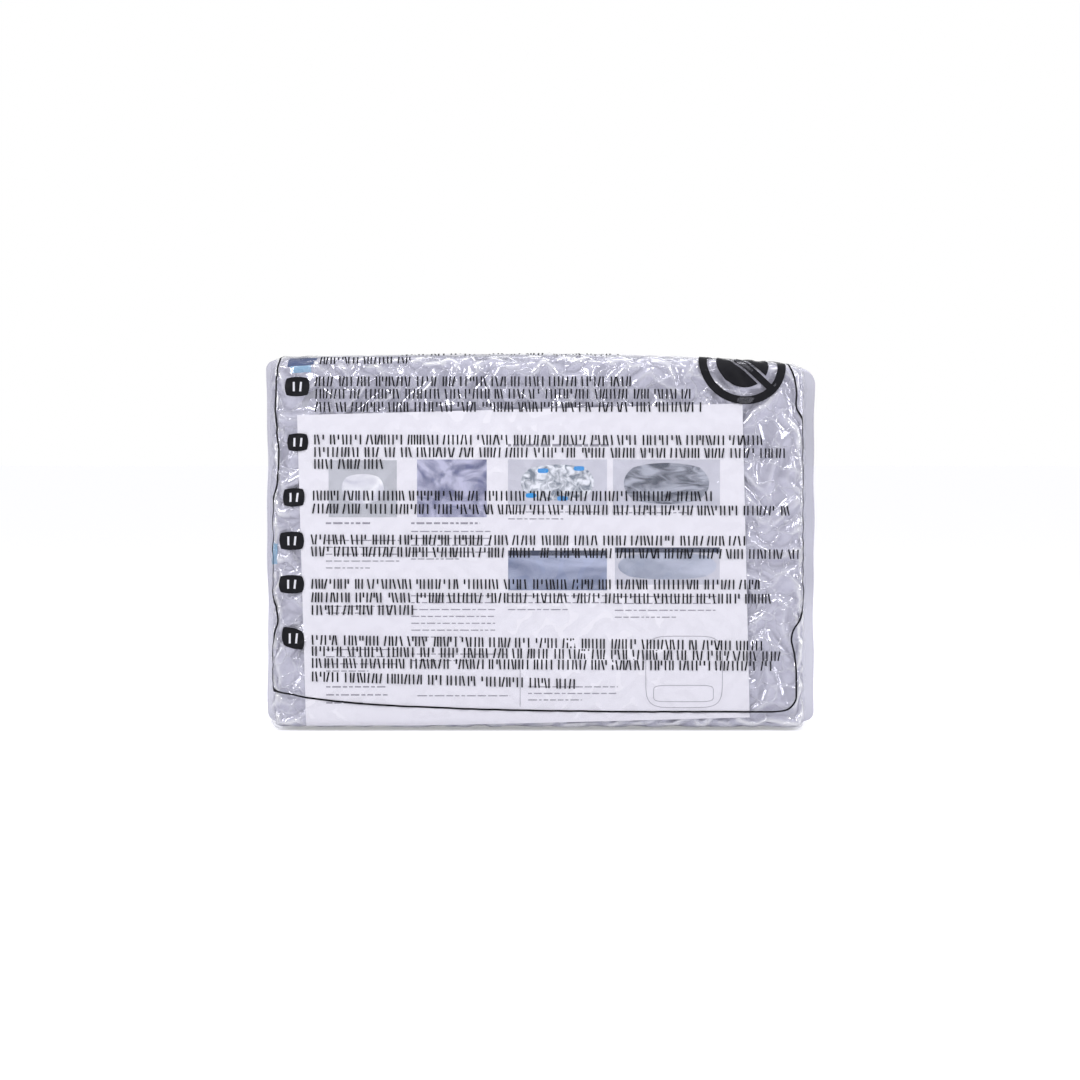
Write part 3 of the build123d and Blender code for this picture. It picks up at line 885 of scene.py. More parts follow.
# ---- pieces: bag ---------------------------------------------------------------------------
class PILLOWPACK_OT_bag(bpy.types.Operator):
    """Build the clear outer bag with its welded margins"""

    bl_idname = "pillowpack.bag"
    bl_label = "Outer Bag"

    def execute(self, context):
        film = bag_film(context)
        spacing = 1.6
        low, high = film.low, film.high
        tint = context.scene.pillowpack_films.bag_tint
        # painted highlight on the film's ridges (light), partly the whitening of creased film, and painted
        # shade in its valleys
        light = (0.98, 0.98, 1.0)
        valley_shade = tuple(c * 0.8 for c in tint)
        material = film_material(
            "bag_film", (valley_shade, tint, light), (0.22, 0.09, 0.55), 0.1, 0.45, 30.0, 0.12
        )
        # the welded margin's ridges take the same pale colour: painted highlight, partly the whitening of
        # creased film
        lavender = (0.50, 0.495, 0.62)
        weld = film_material(
            "bag_weld", (lavender, lavender, light), (0.8, 0.72, 0.85), 0.25, 0.2, 60.0, 0.3
        )
        bend_y = high[1] - EDGE_TOP
        across = (low[0], high[0])
        cube, quads = joined([
            cube_patch("front", (0, HEIGHT), across, spacing, low, high),
            cube_patch("top", (low[1], bend_y), across, spacing, low, high),
        ])
        front = made_mesh("bag_front_and_top", film.place(cube), quads, merge=0.05)
        mark_creases(front)
        # painted shade: over the top the film is painted darker grey as it runs back from the front edge,
        # and is less clear and duller
        depth_share = (coordinates(front)[:, 1] - low[1]) / (bend_y - low[1])
        mark_haze_and_shade(front, smooth(depth_share * 4 - 0.3))
        dress(front, material)
        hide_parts("bag_front_film", "flap_top_panel")
        fold_with_flap(front)
        deep = (low[1], high[1])
        cube, quads = joined([
            cube_patch("back", (0, HEIGHT), across, spacing, low, high),
            cube_patch("left", (0, HEIGHT), deep, spacing, low, high),
            cube_patch("right", (0, HEIGHT), deep, spacing, low, high),
            cube_patch("base", deep, across, spacing, low, high),
        ])
        body = made_mesh("bag_back_ends_and_base", film.place(cube), quads, merge=0.05)
        mark_creases(body)
        # painted shade: the back, ends and base are painted a little darker grey
        mark_haze_and_shade(body, 0.2)
        dress(body, material)
        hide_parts("bag_back_film")
        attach(body, "pack")
        welds = [self.weld(-1, "bag_weld_left", weld), self.weld(1, "bag_weld_right", weld)]
        self.tail(film, material, spacing)
        return {"FINISHED"}

    def weld(self, side, name, material):
        """The welded margin that stands out from one end wall."""
        inner = end_wall(side) - 1.5
        outer = WELD_X[side]
        drop = float(drop_at(np.array(side * BODY_X)))
        foot, head = 0.9, HEIGHT - drop - 1.5
        up, share = np.meshgrid(np.linspace(0, 1, 170), np.linspace(0, 1, 9), indexing="ij")
        up, share = up.ravel(), share.ravel()
        round_top = 12.0 if side > 0 else 7.0
        z = foot + (head - foot) * up
        from_top, from_foot = head - z, z - foot
        cut = round_top * (1 - np.sqrt(np.clip(1 - (1 - from_top / round_top) ** 2, 0, 1)))
        cut = np.where(from_top < round_top, cut, 0)
        low_cut = 7.0 * (1 - np.sqrt(np.clip(1 - (1 - from_foot / 7.0) ** 2, 0, 1)))
        cut = np.where(from_foot < 7.0, low_cut, cut)
        edge = np.maximum(outer - cut, inner + 0.6)
        edge = edge + 0.35 * np.sin(z / 17.0) + 0.25 * np.sin(z / 7.3 + side)
        x = inner + (edge - inner) * share
        points = np.stack([side * x, weld_y(side, z, share), z], 1)
        quads = grid(170, 9)
        if side < 0:
            quads = quads[:, ::-1]
        piece = made_mesh(name, points, quads)
        mark_creases(piece)
        dress(piece, material)
        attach(piece, "pack")
        return piece

    def tail(self, film, material, spacing):
        """The flap's tail: over the rear edge and down the back."""
        bend = EDGE_TOP * math.pi / 2
        length = bend + (HEIGHT - EDGE_TOP) - TAIL_LOW[2]
        rows = int(length / spacing) + 1
        columns = int(2 * BODY_X / spacing) + 1
        s, share = np.meshgrid(np.linspace(0, length, rows), np.linspace(-1, 1, columns), indexing="ij")
        s, share = s.ravel(), share.ravel()
        tail_half = TAIL_HIGH[0]
        half = BODY_X - (BODY_X - tail_half) * smooth(s / 30.0)
        x = share * half
        turn = s / EDGE_TOP
        high_y, high_z = film.high[1], film.high[2]
        falling = turn > math.pi / 4
        y = np.where(
            falling, high_y,
            high_y - EDGE_TOP + EDGE_TOP * np.tan(np.clip(turn, 0, math.pi / 4)),
        )
        past = np.clip(math.pi / 2 - turn, 0, math.pi / 4)
        z = np.where(falling, high_z - EDGE_TOP + EDGE_TOP * np.tan(past), high_z)
        z = np.where(s > bend, high_z - EDGE_TOP - (s - bend), z)
        lift = 2.7 * smooth(s / 12.0) + 0.8 * np.abs(share) ** 5
        edge = np.minimum(1 - np.abs(share), 1 - s / length)
        lift = lift + 0.5 * (1 - smooth(edge * 12)) * smooth((s - 25) / 20)
        points = film.place(np.stack([x, y, z], 1), lift)
        piece = made_mesh("bag_flap_tail", points, grid(rows, columns)[:, ::-1])
        margin = np.minimum((1 - np.abs(share)) * half, length - s)
        mark_creases(piece, hem=(margin < 2.5) * 1.0)
        # painted shade: the whole tail is painted the darker grey of loose film
        mark_haze_and_shade(piece, 1.0)
        dress(piece, material)
        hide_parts("flap_tail")
        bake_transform(piece)
        sticky = plain_material("adhesive", (0.82, 0.81, 0.78), 0.3, 80.0, 0.2, alpha=0.45)
        repaint("flap_adhesive_strip", sticky)


# ---- pieces: printing ------------------------------------------------------------------------
class Ink:
    """Printed shapes laid on a surface, gathered into one mesh."""

    def __init__(self, surface, lift, cell=1.3):
        self.surface, self.lift, self.cell = surface, lift, cell
        self.patches = []

    def net(self, u, s, quads, lift=0.0):
        self.patches.append((self.surface(u, s, self.lift + lift), quads))

    def stroke(self, start, end, width):
        """A straight stroke."""
        start, end = np.array(start, float), np.array(end, float)
        length = math.hypot(*(end - start))
        self.ribbon([start, end], width, max(int(length / self.cell), 1))

    def ribbon(self, path, width, steps=1, closed=False):
        """A band along a path of points; steps cuts each span."""
        path = np.array(path, float)
        spans = [path[:-1] + (path[1:] - path[:-1]) * k / steps for k in range(steps)]
        line = np.stack(spans, 1).reshape(-1, 2)
        line = np.concatenate([line, path[-1:]])
        ahead = np.gradient(line, axis=0)
        ahead /= np.linalg.norm(ahead, axis=1, keepdims=True) + 1e-9
        across = np.stack([-ahead[:, 1], ahead[:, 0]], 1)
        if closed:
            across[0] = across[-1] = (across[0] + across[-1]) / 2
        wide = np.broadcast_to(np.reshape(width, (-1, 1)) / 2, (len(line), 1))
        left, right = line + across * wide, line - across * wide
        points = np.stack([right, left], 1).reshape(-1, 2)
        quads = grid(len(line), 2)
        self.net(points[:, 0], points[:, 1], quads[:, ::-1])

    def patch(self, centre, half, roundness=0.6, lift=0.0, bend=0.0):
        """A filled rounded rectangle."""
        n = max(int(2 * half[1] / self.cell), 3)
        m = max(int(2 * half[0] / self.cell), 3)
        q, p = np.meshgrid(np.linspace(-1, 1, n + 1), np.linspace(-1, 1, m + 1), indexing="ij")
        p, q = p.ravel(), q.ravel()
        across = p * np.sqrt(1 - roundness * q**2 / 2)
        up = q * np.sqrt(1 - roundness * p**2 / 2)
        u = centre[0] + half[0] * across
        s = centre[1] + half[1] * up + bend * across
        self.net(u, s, grid(n + 1, m + 1), lift)

    def made(self, name, material):
        points, quads = joined(self.patches)
        return dress(made_mesh(name, points, quads), material)


def curve_through(path, pitch):
    """Evenly cut points on a smooth curve through a path."""
    path = np.array(path, float)
    before = np.concatenate([[2 * path[0] - path[1]], path[:-1]])
    after = np.concatenate([path[1:], [2 * path[-1] - path[-2]]])
    pull_in = (after - before) / 2
    spans = np.linalg.norm(np.diff(path, axis=0), axis=1)
    least = np.minimum(np.append(spans, spans[-1]), np.insert(spans, 0, spans[0]))
    pull_in *= np.minimum(1, least / (np.linalg.norm(pull_in, axis=1) + 1e-9))[:, None]
    out = []
    for k in range(len(path) - 1):
        a, b = path[k], path[k + 1]
        count = max(int(np.linalg.norm(b - a) / pitch), 1)
        t = np.linspace(0, 1, count, endpoint=False)[:, None]
        h = 2 * t**3 - 3 * t**2 + 1, t**3 - 2 * t**2 + t, 3 * t**2 - 2 * t**3, t**3 - t**2
        out.append(h[0] * a + h[1] * pull_in[k] + h[2] * b + h[3] * pull_in[k + 1])
    return np.concatenate([*out, path[-1:]])


# left end, right end and height of each printed line; the last number is its fall
PRINTED_LINES = (
    (-146, -85, 249.3, 0), (-92, 54, 258, 0),
    (-149, 63, 234, 0), (-149, 100, 225.7, 0), (-149, 107, 217, 0),
    (-150, 148, 195.3, 0.5), (-150, 165, 187, 0.8), (-150, -105, 179, 0),
    (-151, 115, 158, 0.5), (-151, 167, 149.3, 1.5),
    (-152, 137, 128.7, 1), (-152, 175, 120.7, 2),
    (-152, 147, 99, 0.5), (-152, 155, 90, 1), (-152, -85, 81.5, 0),
    (-152, 150, 61.5, 4), (-152, 160, 54, 3.5), (-152, 155, 46, 2), (-152, 23, 37, 5),
)
# the badges before the blocks: left, right, foot and head
BADGES = (
    (-170, -153.5, 224, 237), (-168.5, -154.5, 187.5, 199.5), (-171.5, -157, 150.5, 163),
    (-174, -157.5, 121.5, 134), (-174.5, -157.5, 92.5, 105), (-172.5, -157.5, 55.5, 69.5),
)
# the frame round the printing, as it shows from the front
FRAME_PATH = (
    (-150, 268), (-168, 262), (-174, 250), (-175, 243), (-176, 226), (-176, 209), (-174.5, 192),
    (-174.5, 176), (-175.5, 165), (-181.2, 150), (-182, 134), (-182.4, 112), (-181, 92), (-176, 82),
    (-175.5, 72), (-181, 56), (-181.6, 40), (-178.6, 30), (-174.5, 26.5), (-166, 25), (-154, 22.5),
    (-122, 19), (-91, 17), (-40, 15), (5, 14), (60, 13.4), (120, 13.3), (156, 13.3), (166, 15),
    (171, 21), (171.5, 30), (171.3, 42), (170, 52), (168, 62), (170.5, 70), (177, 84), (178.5, 112),
    (179.5, 140), (178.4, 168), (179.3, 188), (176.6, 206), (171, 216), (171, 226), (169, 238),
    (163, 252), (150, 264),
)


class PILLOWPACK_OT_printing(bpy.types.Operator):
    """Build the printing on the bag: lines of plain marks, badges, frame and round sign"""

    bl_idname = "pillowpack.printing"
    bl_label = "Printing"

    def execute(self, context):
        settings = context.scene.pillowpack_print
        film = bag_film(context)
        ink = plain_material("print_ink", tuple(settings.ink), 0.55, 300.0, vary=0.3)
        ink.node_tree.nodes["Principled BSDF"].inputs["Specular IOR Level"].default_value = 0.2
        clear = plain_material("print_reserve", (0.75, 0.75, 0.80), 0.4, 300.0)

        def surface(u, s, lift):
            return film.place(film.cube_at(u, s), lift)

        height = settings.mark_height / MM
        width = settings.mark_width / MM
        marks = Ink(surface, 0.18)
        rng = np.random.default_rng(7)
        for left, right, level, fall in PRINTED_LINES:
            self.line(film, marks, rng, left, right, level, fall, height, width)
        self.sign(film, marks)
        for left, right, foot, head in BADGES:
            self.badge(film, marks, left, right, foot, head)
        piece = marks.made("bag_print_marks", ink)
        fold_with_flap(piece)
        reserve = Ink(surface, 0.34)
        for left, right, foot, head in BADGES:
            middle, half = (left + right) / 2, (head - foot) * 0.24
            u, s = film.net_at(np.array([middle - 2.2, middle + 2.0]), np.full(2, (foot + head) / 2))
            reserve.stroke((u[0], s[0] - half), (u[0], s[0] + half), 1.3)
            reserve.stroke((u[1], s[1] - half), (u[1] + 0.6, s[1] + half), 1.3)
        piece = reserve.made("bag_print_reserves", clear)
        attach(piece, "pack")
        self.frame(film, surface, ink)
        return {"FINISHED"}

    def line(self, film, marks, rng, left, right, level, fall, height, width):
        """One line of plain strokes, in groups with gaps like words."""
        x = left
        at = []
        while x < right:
            for _ in range(int(rng.integers(3, 12))):
                if x > right:
                    break
                at.append((x, rng.random(), rng.random()))
                x += width + 0.9 + 1.5 * rng.random()
            x += 2.4
        xs = np.array([a[0] for a in at])
        along = (xs - left) / max(right - left, 1)
        u, s = film.net_at(xs, level - fall * along)
        for k, (_, kind, lean) in enumerate(at):
            low, high, tip = -0.5, 0.5, 0.0
            if kind > 0.9:
                low = 0.0
            elif kind > 0.45:
                tip = (lean - 0.5) * 3.0
            foot = (u[k] - tip / 2, s[k] + low * height)
            marks.stroke(foot, (u[k] + tip / 2, s[k] + high * height), width)

    def badge(self, film, marks, left, right, foot, head):
        u, s = film.net_at(np.array([left, right]), np.full(2, (foot + head) / 2))
        centre = (u.mean(), s.mean())
        pinch = 1.8 if foot < 60 else 0.0
        marks.patch(centre, ((u[1] - u[0]) / 2, (head - foot) / 2), 0.55, bend=-pinch)

    def sign(self, film, marks):
        """A ring round a plain disc that a bar cuts in two."""
        u, s = film.net_at(np.array([135.0]), np.array([247.0]))
        u, s = u[0], s[0]
        turn = np.linspace(0, 2 * math.pi, 121)
        for inner, outer in ((22.9, 28.3),):
            middle = (inner + outer) / 2
            path = np.stack([u + middle * np.cos(turn), s + middle * np.sin(turn)], 1)
            marks.ribbon(path, outer - inner, closed=True)
        slant = math.radians(-42)
        direction = np.array([math.cos(slant), math.sin(slant)])
        marks.stroke(
            np.array([u, s]) - direction * 24.5, np.array([u, s]) + direction * 24.5, 4.6
        )
        for side in (-1, 1):
            self.half_disc(marks, (u, s), slant, side)

    def half_disc(self, marks, centre, slant, side):
        radius, gap = 17.0, 3.8
        far = np.linspace(gap, radius, 10)
        share = np.linspace(-1, 1, 19)
        far, share = np.meshgrid(far, share, indexing="ij")
        far, share = far.ravel(), share.ravel()
        wide = np.sqrt(np.maximum(radius**2 - far**2, 0)) * share
        along = np.array([math.cos(slant), math.sin(slant)])
        across = np.array([-along[1], along[0]]) * side
        points = np.array(centre) + wide[:, None] * along + far[:, None] * across
        quads = grid(10, 19)
        marks.net(points[:, 0], points[:, 1], quads if side > 0 else quads[:, ::-1])

    def frame(self, film, surface, ink):
        """The thin line round the printing, wider where the film turns away at the ends."""
        path = np.array(FRAME_PATH, float)
        u, s = film.net_at(path[:, 0], path[:, 1])
        line = curve_through(np.stack([u, s], 1), 1.3)
        ahead = surface(line[:, 0] + 0.2, line[:, 1], 0.0)[:, 0]
        behind = surface(line[:, 0] - 0.2, line[:, 1], 0.0)[:, 0]
        shown = np.clip(np.abs(ahead - behind) / 0.4, 0.45, 1)
        band = Ink(surface, 0.2)
        band.ribbon(line, 1.2 / shown)
        fold_with_flap(band.made("bag_print_frame", ink))


# ---- pieces: leaflet ------------------------------------------------------------------------
PAPER_SIZE = (297.0, 210.0)
PAPER_MIDDLE = (-10.8, 110.5)
PAPER_TILT = math.radians(1.5)


def paper_wave(x, z):
    return 0.16 * np.sin(x / 37.0 + z / 80.0) + 0.1 * np.sin(z / 29.0 - x / 61.0)


def paper_surface(film, x, z, lift):
    """Points on the paper as they show from the front."""
    goal_x, goal_z = np.array(x, float), np.array(z, float)
    x, z = goal_x.copy(), goal_z.copy()
    for _ in range(3):
        cube = np.stack([x, np.full_like(x, FRONT_Y + film.inset), z], 1)
        points = film.place(cube)
        x = x + goal_x - points[:, 0]
        z = np.maximum(z + goal_z - points[:, 2], film.inset)
    cube = np.stack([x, np.full_like(x, FRONT_Y + film.inset), z], 1)
    return film.place(cube, paper_wave(goal_x, goal_z) + lift)


# the pictures on the leaflet: left, right, foot, head, and the finishes of tile and shape
PICTURES = (
    (-141, -95.5, 143.5, 181.5, "tile_grey", "cushion_white", (0.62, 0.52)),
    (-82, -35.5, 143.5, 182, "folds_lavender", None, None),
    (-21.3, 44.7, 151.3, 182, "tile_pale", "pack_silver", (0.74, 0.78)),
    (48.7, 120, 150, 182, "tile_pale", "folds_dark", (0.8, 0.86)),
    (-21.3, 44.7, 94.7, 121.3, "folds_blue", None, None),
    (50, 120, 98.5, 123.3, "tile_pale", "folds_grey", (0.94, 0.72)),
)
# blocks of small text: left, right, head of the first line, lines, pitch, stroke
TEXT_BLOCKS = (
    (-143, -113, 139.5, 1, 3, 1.3), (-143, -94, 128, 5, 4.6, 0.7),
    (-86, -40, 139.5, 1, 3, 1.3), (-86, -33, 134, 5, 4.6, 0.7),
    (-21.3, 47.5, 191.5, 1, 3, 1.7), (-21.3, 40, 147, 2, 4.6, 0.7), (48.7, 101, 146.5, 1, 4.6, 0.7),
    (-143, -98, 84, 2, 4.6, 0.7), (-86, -30, 91, 7, 4.6, 0.7), (-21.3, 45, 91, 3, 4.6, 0.7),
    (50, 118, 90.5, 4, 4.6, 0.7), (-143, -96, 55, 4, 4.8, 0.7), (-86, -22, 52, 2, 4.4, 0.7),
    (-143, -102, 30, 3, 5.4, 0.9), (-8, 52, 30, 3, 4.4, 0.7), (-82, -20, 24, 1, 4.4, 0.7),
)


class PILLOWPACK_OT_leaflet(bpy.types.Operator):
    """Build the instruction leaflet with its pictures and text blocks"""

    bl_idname = "pillowpack.leaflet"
    bl_label = "Leaflet"

    def execute(self, context):
        film = shared_film("paper", context.scene.pillowpack_films)
        paper = plain_material("leaflet_paper", (0.82, 0.805, 0.86), 0.5, 300.0, 0.05, vary=0.03)
        up, across, n, m = net(
            (-PAPER_SIZE[1] / 2, PAPER_SIZE[1] / 2), (-PAPER_SIZE[0] / 2, PAPER_SIZE[0] / 2), 2.5
        )
        x = PAPER_MIDDLE[0] + across * math.cos(PAPER_TILT) - up * math.sin(PAPER_TILT)
        z = PAPER_MIDDLE[1] + up * math.cos(PAPER_TILT) + across * math.sin(PAPER_TILT)
        piece = made_mesh("instruction_sheet", paper_surface(film, x, z, 0.0), grid(n, m))
        dress(piece, paper)
        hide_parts("instruction_leaflet")
        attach(piece, "pack")

        def surface(u, s, lift):
            return paper_surface(film, u, s, lift)

        prints = [*self.pictures(surface), *self.words(surface)]
        for printed in prints:
            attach(printed, "pack")
        return {"FINISHED"}

    def pictures(self, surface):
        finishes = {
            "tile_grey": plain_material("tile_grey", (0.52, 0.53, 0.58), 0.45, 40.0, vary=0.12),
            "tile_pale": plain_material("tile_pale", (0.60, 0.60, 0.68), 0.45, 30.0, vary=0.12),
            "cushion_white": folds_material("cushion_white", (0.6, 0.6, 0.68), (0.86, 0.86, 0.9), 60, 1.2),
            "folds_lavender": folds_material(
                "folds_lavender", (0.15, 0.16, 0.28), (0.5, 0.5, 0.66), 46, 2.2
            ),
            "pack_silver": folds_material("pack_silver", (0.18, 0.21, 0.26), (0.82, 0.84, 0.9), 190, 1.0),
            "folds_dark": folds_material(
                "folds_dark", (0.07, 0.08, 0.11), (0.42, 0.44, 0.52), 90, 1.4, 0.9, (0.6, 1, 1.8)
            ),
            "folds_blue": folds_material(
                "folds_blue", (0.16, 0.19, 0.30), (0.42, 0.46, 0.62), 34, 1.0, 0.5, (0.6, 1, 1.6)
            ),
            "folds_grey": folds_material(
                "folds_grey", (0.26, 0.29, 0.38), (0.5, 0.53, 0.64), 30, 0.8, 0.3, (0.6, 1, 1.8)
            ),
        }
        made = []
        for k, (left, right, foot, head, tile, shape, size) in enumerate(PICTURES):
            centre = ((left + right) / 2, (foot + head) / 2)
            half = ((right - left) / 2, (head - foot) / 2)
            base = Ink(surface, 0.08, 3.0)
            base.patch(centre, half, 0.0)
            made.append(base.made(f"leaflet_picture_{k + 1}", finishes[tile]))
            if shape:
                blob = Ink(surface, 0.15, 2.0)
                blob.patch(centre, (half[0] * size[0], half[1] * size[1]), 0.8)
                made.append(blob.made(f"leaflet_picture_{k + 1}_shape", finishes[shape]))
        blue = plain_material("picture_blue", (0.03, 0.30, 0.72), 0.45)
        spots = Ink(surface, 0.2, 2.0)
        for x, z in ((2, 174.5), (26, 176), (15, 156), (-6, 158)):
            spots.patch((x, z), (3.6, 1.6), 0.6)
        made.append(spots.made("leaflet_picture_spots", blue))
        shade = plain_material("picture_dark", (0.05, 0.06, 0.10), 0.45)
        bands = Ink(surface, 0.2, 3.0)
        bands.patch((11.7, 119.6), (33, 1.7), 0.0)
        bands.patch((85, 121.6), (35, 1.7), 0.0)
        made.append(bands.made("leaflet_picture_bands", shade))
        return made

    def words(self, surface):
        """Text as rows of thin grey dashes, with a rule and two boxes."""
        grey = plain_material("leaflet_ink", (0.30, 0.29, 0.34), 0.5)
        text = Ink(surface, 0.1, 3.0)
        rng = np.random.default_rng(19)
        for left, right, head, lines, pitch, height in TEXT_BLOCKS:
            for row in range(lines):
                x = left
                end = right if row < lines - 1 or lines == 1 else left + 0.6 * (right - left)
                while x < end:
                    word = 1.6 + 5.0 * rng.random()
                    level = head - row * pitch
                    text.stroke((x, level), (min(x + word, end), level), height)
                    x += word + 1.3
        text.stroke((-13.3, 16.7), (-13.3, 60), 0.35)
        for left, right, foot, head, corner in ((70.7, 122, 16, 64, 3), (76, 116, 20, 31, 1.5)):
            turn = np.linspace(0, 2 * math.pi, 49)
            power = 5.0 if corner > 2 else 6.0
            c, s = np.cos(turn), np.sin(turn)
            x = (left + right) / 2 + (right - left) / 2 * np.sign(c) * np.abs(c) ** (2 / power)
            z = (foot + head) / 2 + (head - foot) / 2 * np.sign(s) * np.abs(s) ** (2 / power)
            text.ribbon(np.stack([x, z], 1), 0.35, 2, closed=True)
        return [text.made("leaflet_text", grey)]


# ---- pieces: pillow ---------------------------------------------------------------------------
class Pillow:
    """A soft pillow folded in four: doubled lengthwise at the right, then hung over its top."""

    def __init__(self):
        self.left = PILLOW_LOW[0]
        self.right = 166.0
        self.half = 49.2
        self.foot = 5.5
        self.top = HEIGHT - 6.6
        self.layer = self.half / 2
        self.straight = self.right - self.layer - self.left
        self.turn = math.pi * self.layer / 2
        self.length = 2 * self.straight + self.turn

    def height_share(self, far, soft):
        """How full the pillow is at a distance from its seam."""
        return np.clip(1 - (1 - np.minimum(far / soft, 1)) ** 2.3, 0, 1) ** 0.5

    def place(self, a, b, t):
        """Points for a along the pillow, b from the front hem over the top to the back one."""
        run = a * self.length
        after = run - self.straight - self.turn
        ends = np.minimum(run, self.length - run)
        hem = (1 - np.abs(b)) * 280
        full = self.height_share(ends, 16) * self.height_share(hem, 18)
        soft = 0.03 * np.sin(run / 21 + 3 * b) * np.sin(b * 9 + run / 47) + 0.02 * np.sin(run / 9)
        t = t * full * (1 + soft)
        angle = np.clip((run - self.straight) / self.turn, 0, 1) * math.pi
        lead = 0.07 * (1 - smooth(ends / 28))
        ring = 0.5 + (0.25 + 0.235 * t) * np.cos(angle) + lead * np.cos(angle)
        x = self.left + np.minimum(run, self.straight)
        x = np.where(after > 0, self.left + self.straight - after, x)
        x = x + self.layer * (0.5 + 0.5 * t) * np.sin(angle)
        half = ring * self.half
        top = self.top - (1 - ring) * self.half
        round_by = 13 * ring**2 + half * (1 - ring**2)
        leg = top - round_by - self.foot
        arc = math.pi / 2 * round_by
        flat = half - round_by
        whole = leg + arc + flat
        along = (1 - np.abs(b)) * whole
        turn = np.clip((along - leg) / np.maximum(round_by, 1e-6), 0, math.pi / 2)
        y = -half + round_by * (1 - np.cos(turn)) + np.maximum(along - leg - arc, 0)
        z = self.foot + np.minimum(along, leg) + round_by * np.sin(turn)
        y = np.where(b > 0, -y, y)
        middle = (FRONT_Y + BACK_Y) / 2
        return settled(np.stack([x, y + middle, z], 1), 0.0)


class PILLOWPACK_OT_pillow(bpy.types.Operator):
    """Build the folded pillow: cover, liner, filling, zip and care label"""

    bl_idname = "pillowpack.pillow"
    bl_label = "Pillow"

    def execute(self, context):
        pillow = Pillow()
        knit = cloth_material("cover_knit", (0.50, 0.50, 0.56), 1500.0, 0.35)
        cloth = cloth_material("liner_cloth", (0.72, 0.72, 0.74), 2600.0, 0.2)
        fibre = plain_material("fibre", (0.82, 0.82, 0.82), 0.95, 400.0, 0.5)
        step = 2.6
        rows, columns = int(560 / step), int(pillow.length / step)
        b, a = np.meshgrid(np.linspace(-1, 1, rows), np.linspace(0, 1, columns), indexing="ij")
        a, b = a.ravel(), b.ravel()
        quads = grid(rows, columns)
        flat = (pillow.length * MM, 0.52)
        for name, node_name, depth, material, slot in (
            ("pillow_cover_outer", "cover_outer_panel", 1.0, knit, "cover_knit"),
            ("pillow_cover_inner", "cover_inner_panel", -1.0, knit, "cover_knit"),
        ):
            faces = quads if depth > 0 else quads[:, ::-1]
            piece = made_mesh(name, pillow.place(a, b, np.full_like(a, depth)), faces)
            dress(piece, material)
            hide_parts(node_name)
            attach(piece, "pack")
        for name, node_name, depth, material, slot in (
            ("pillow_liner", "inner_liner", 0.93, cloth, "liner_cloth"),
            ("pillow_filling", "fibre_fill", 0.85, fibre, "fibre"),
        ):
            points = np.concatenate([
                pillow.place(0.01 + 0.98 * a, 0.985 * b, np.full_like(a, depth)),
                pillow.place(0.01 + 0.98 * a, 0.985 * b, np.full_like(a, -depth)),
            ])
            faces = np.concatenate([quads, quads[:, ::-1] + len(a)])
            index = np.arange(len(a)).reshape(rows, columns)
            rim = np.concatenate([index[0], index[1:, -1], index[-1, -2::-1], index[-2:0:-1, 0]])
            ahead = np.roll(rim, -1)
            side = np.stack([rim, rim + len(a), ahead + len(a), ahead], 1)
            piece = made_mesh(name, points, np.concatenate([faces, side]))
            dress(piece, material)
            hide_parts(node_name)
            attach(piece, "pack")
        ribbon = cloth_material("zip_ribbon", (0.42, 0.42, 0.47), 2400.0, 0.4)
        plastic = plain_material("zip_plastic", (0.50, 0.50, 0.54), 0.4, 500.0, 0.1)
        metal = plain_material("zip_metal", (0.6, 0.6, 0.62), 0.3, 700.0, 0.15, 1.0)
        for name, material in (
            ("zip_tape_outer", ribbon), ("zip_tape_inner", ribbon), ("zip_coil", plastic),
            ("zip_stops", metal), ("zip_slider", metal), ("zip_pull", metal),
        ):
            repaint(name, material)
        self.label()
        return {"FINISHED"}

    def label(self):
        """The care label, a folded ribbon sewn into the seam."""
        low, high = cad_box("care_label")
        z, x, n, m = net((low[2], high[2]), (high[0] + 5.4, low[0] + 0.6), 0.7)
        middle = (low[1] + high[1]) / 2
        share = (high[0] + 5.4 - x) / (high[0] - low[0] + 5.4)
        y = middle + 1.3 * np.sin(share * 2.2) * share + 0.25 * np.sin(z / 6.0) * share
        piece = made_mesh("care_ribbon", np.stack([x, y, z], 1), grid(n, m))
        dress(piece, cloth_material("label_ribbon", (0.82, 0.82, 0.80), 3000.0, 0.3))
        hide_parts("care_label")
        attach(piece, "pack")


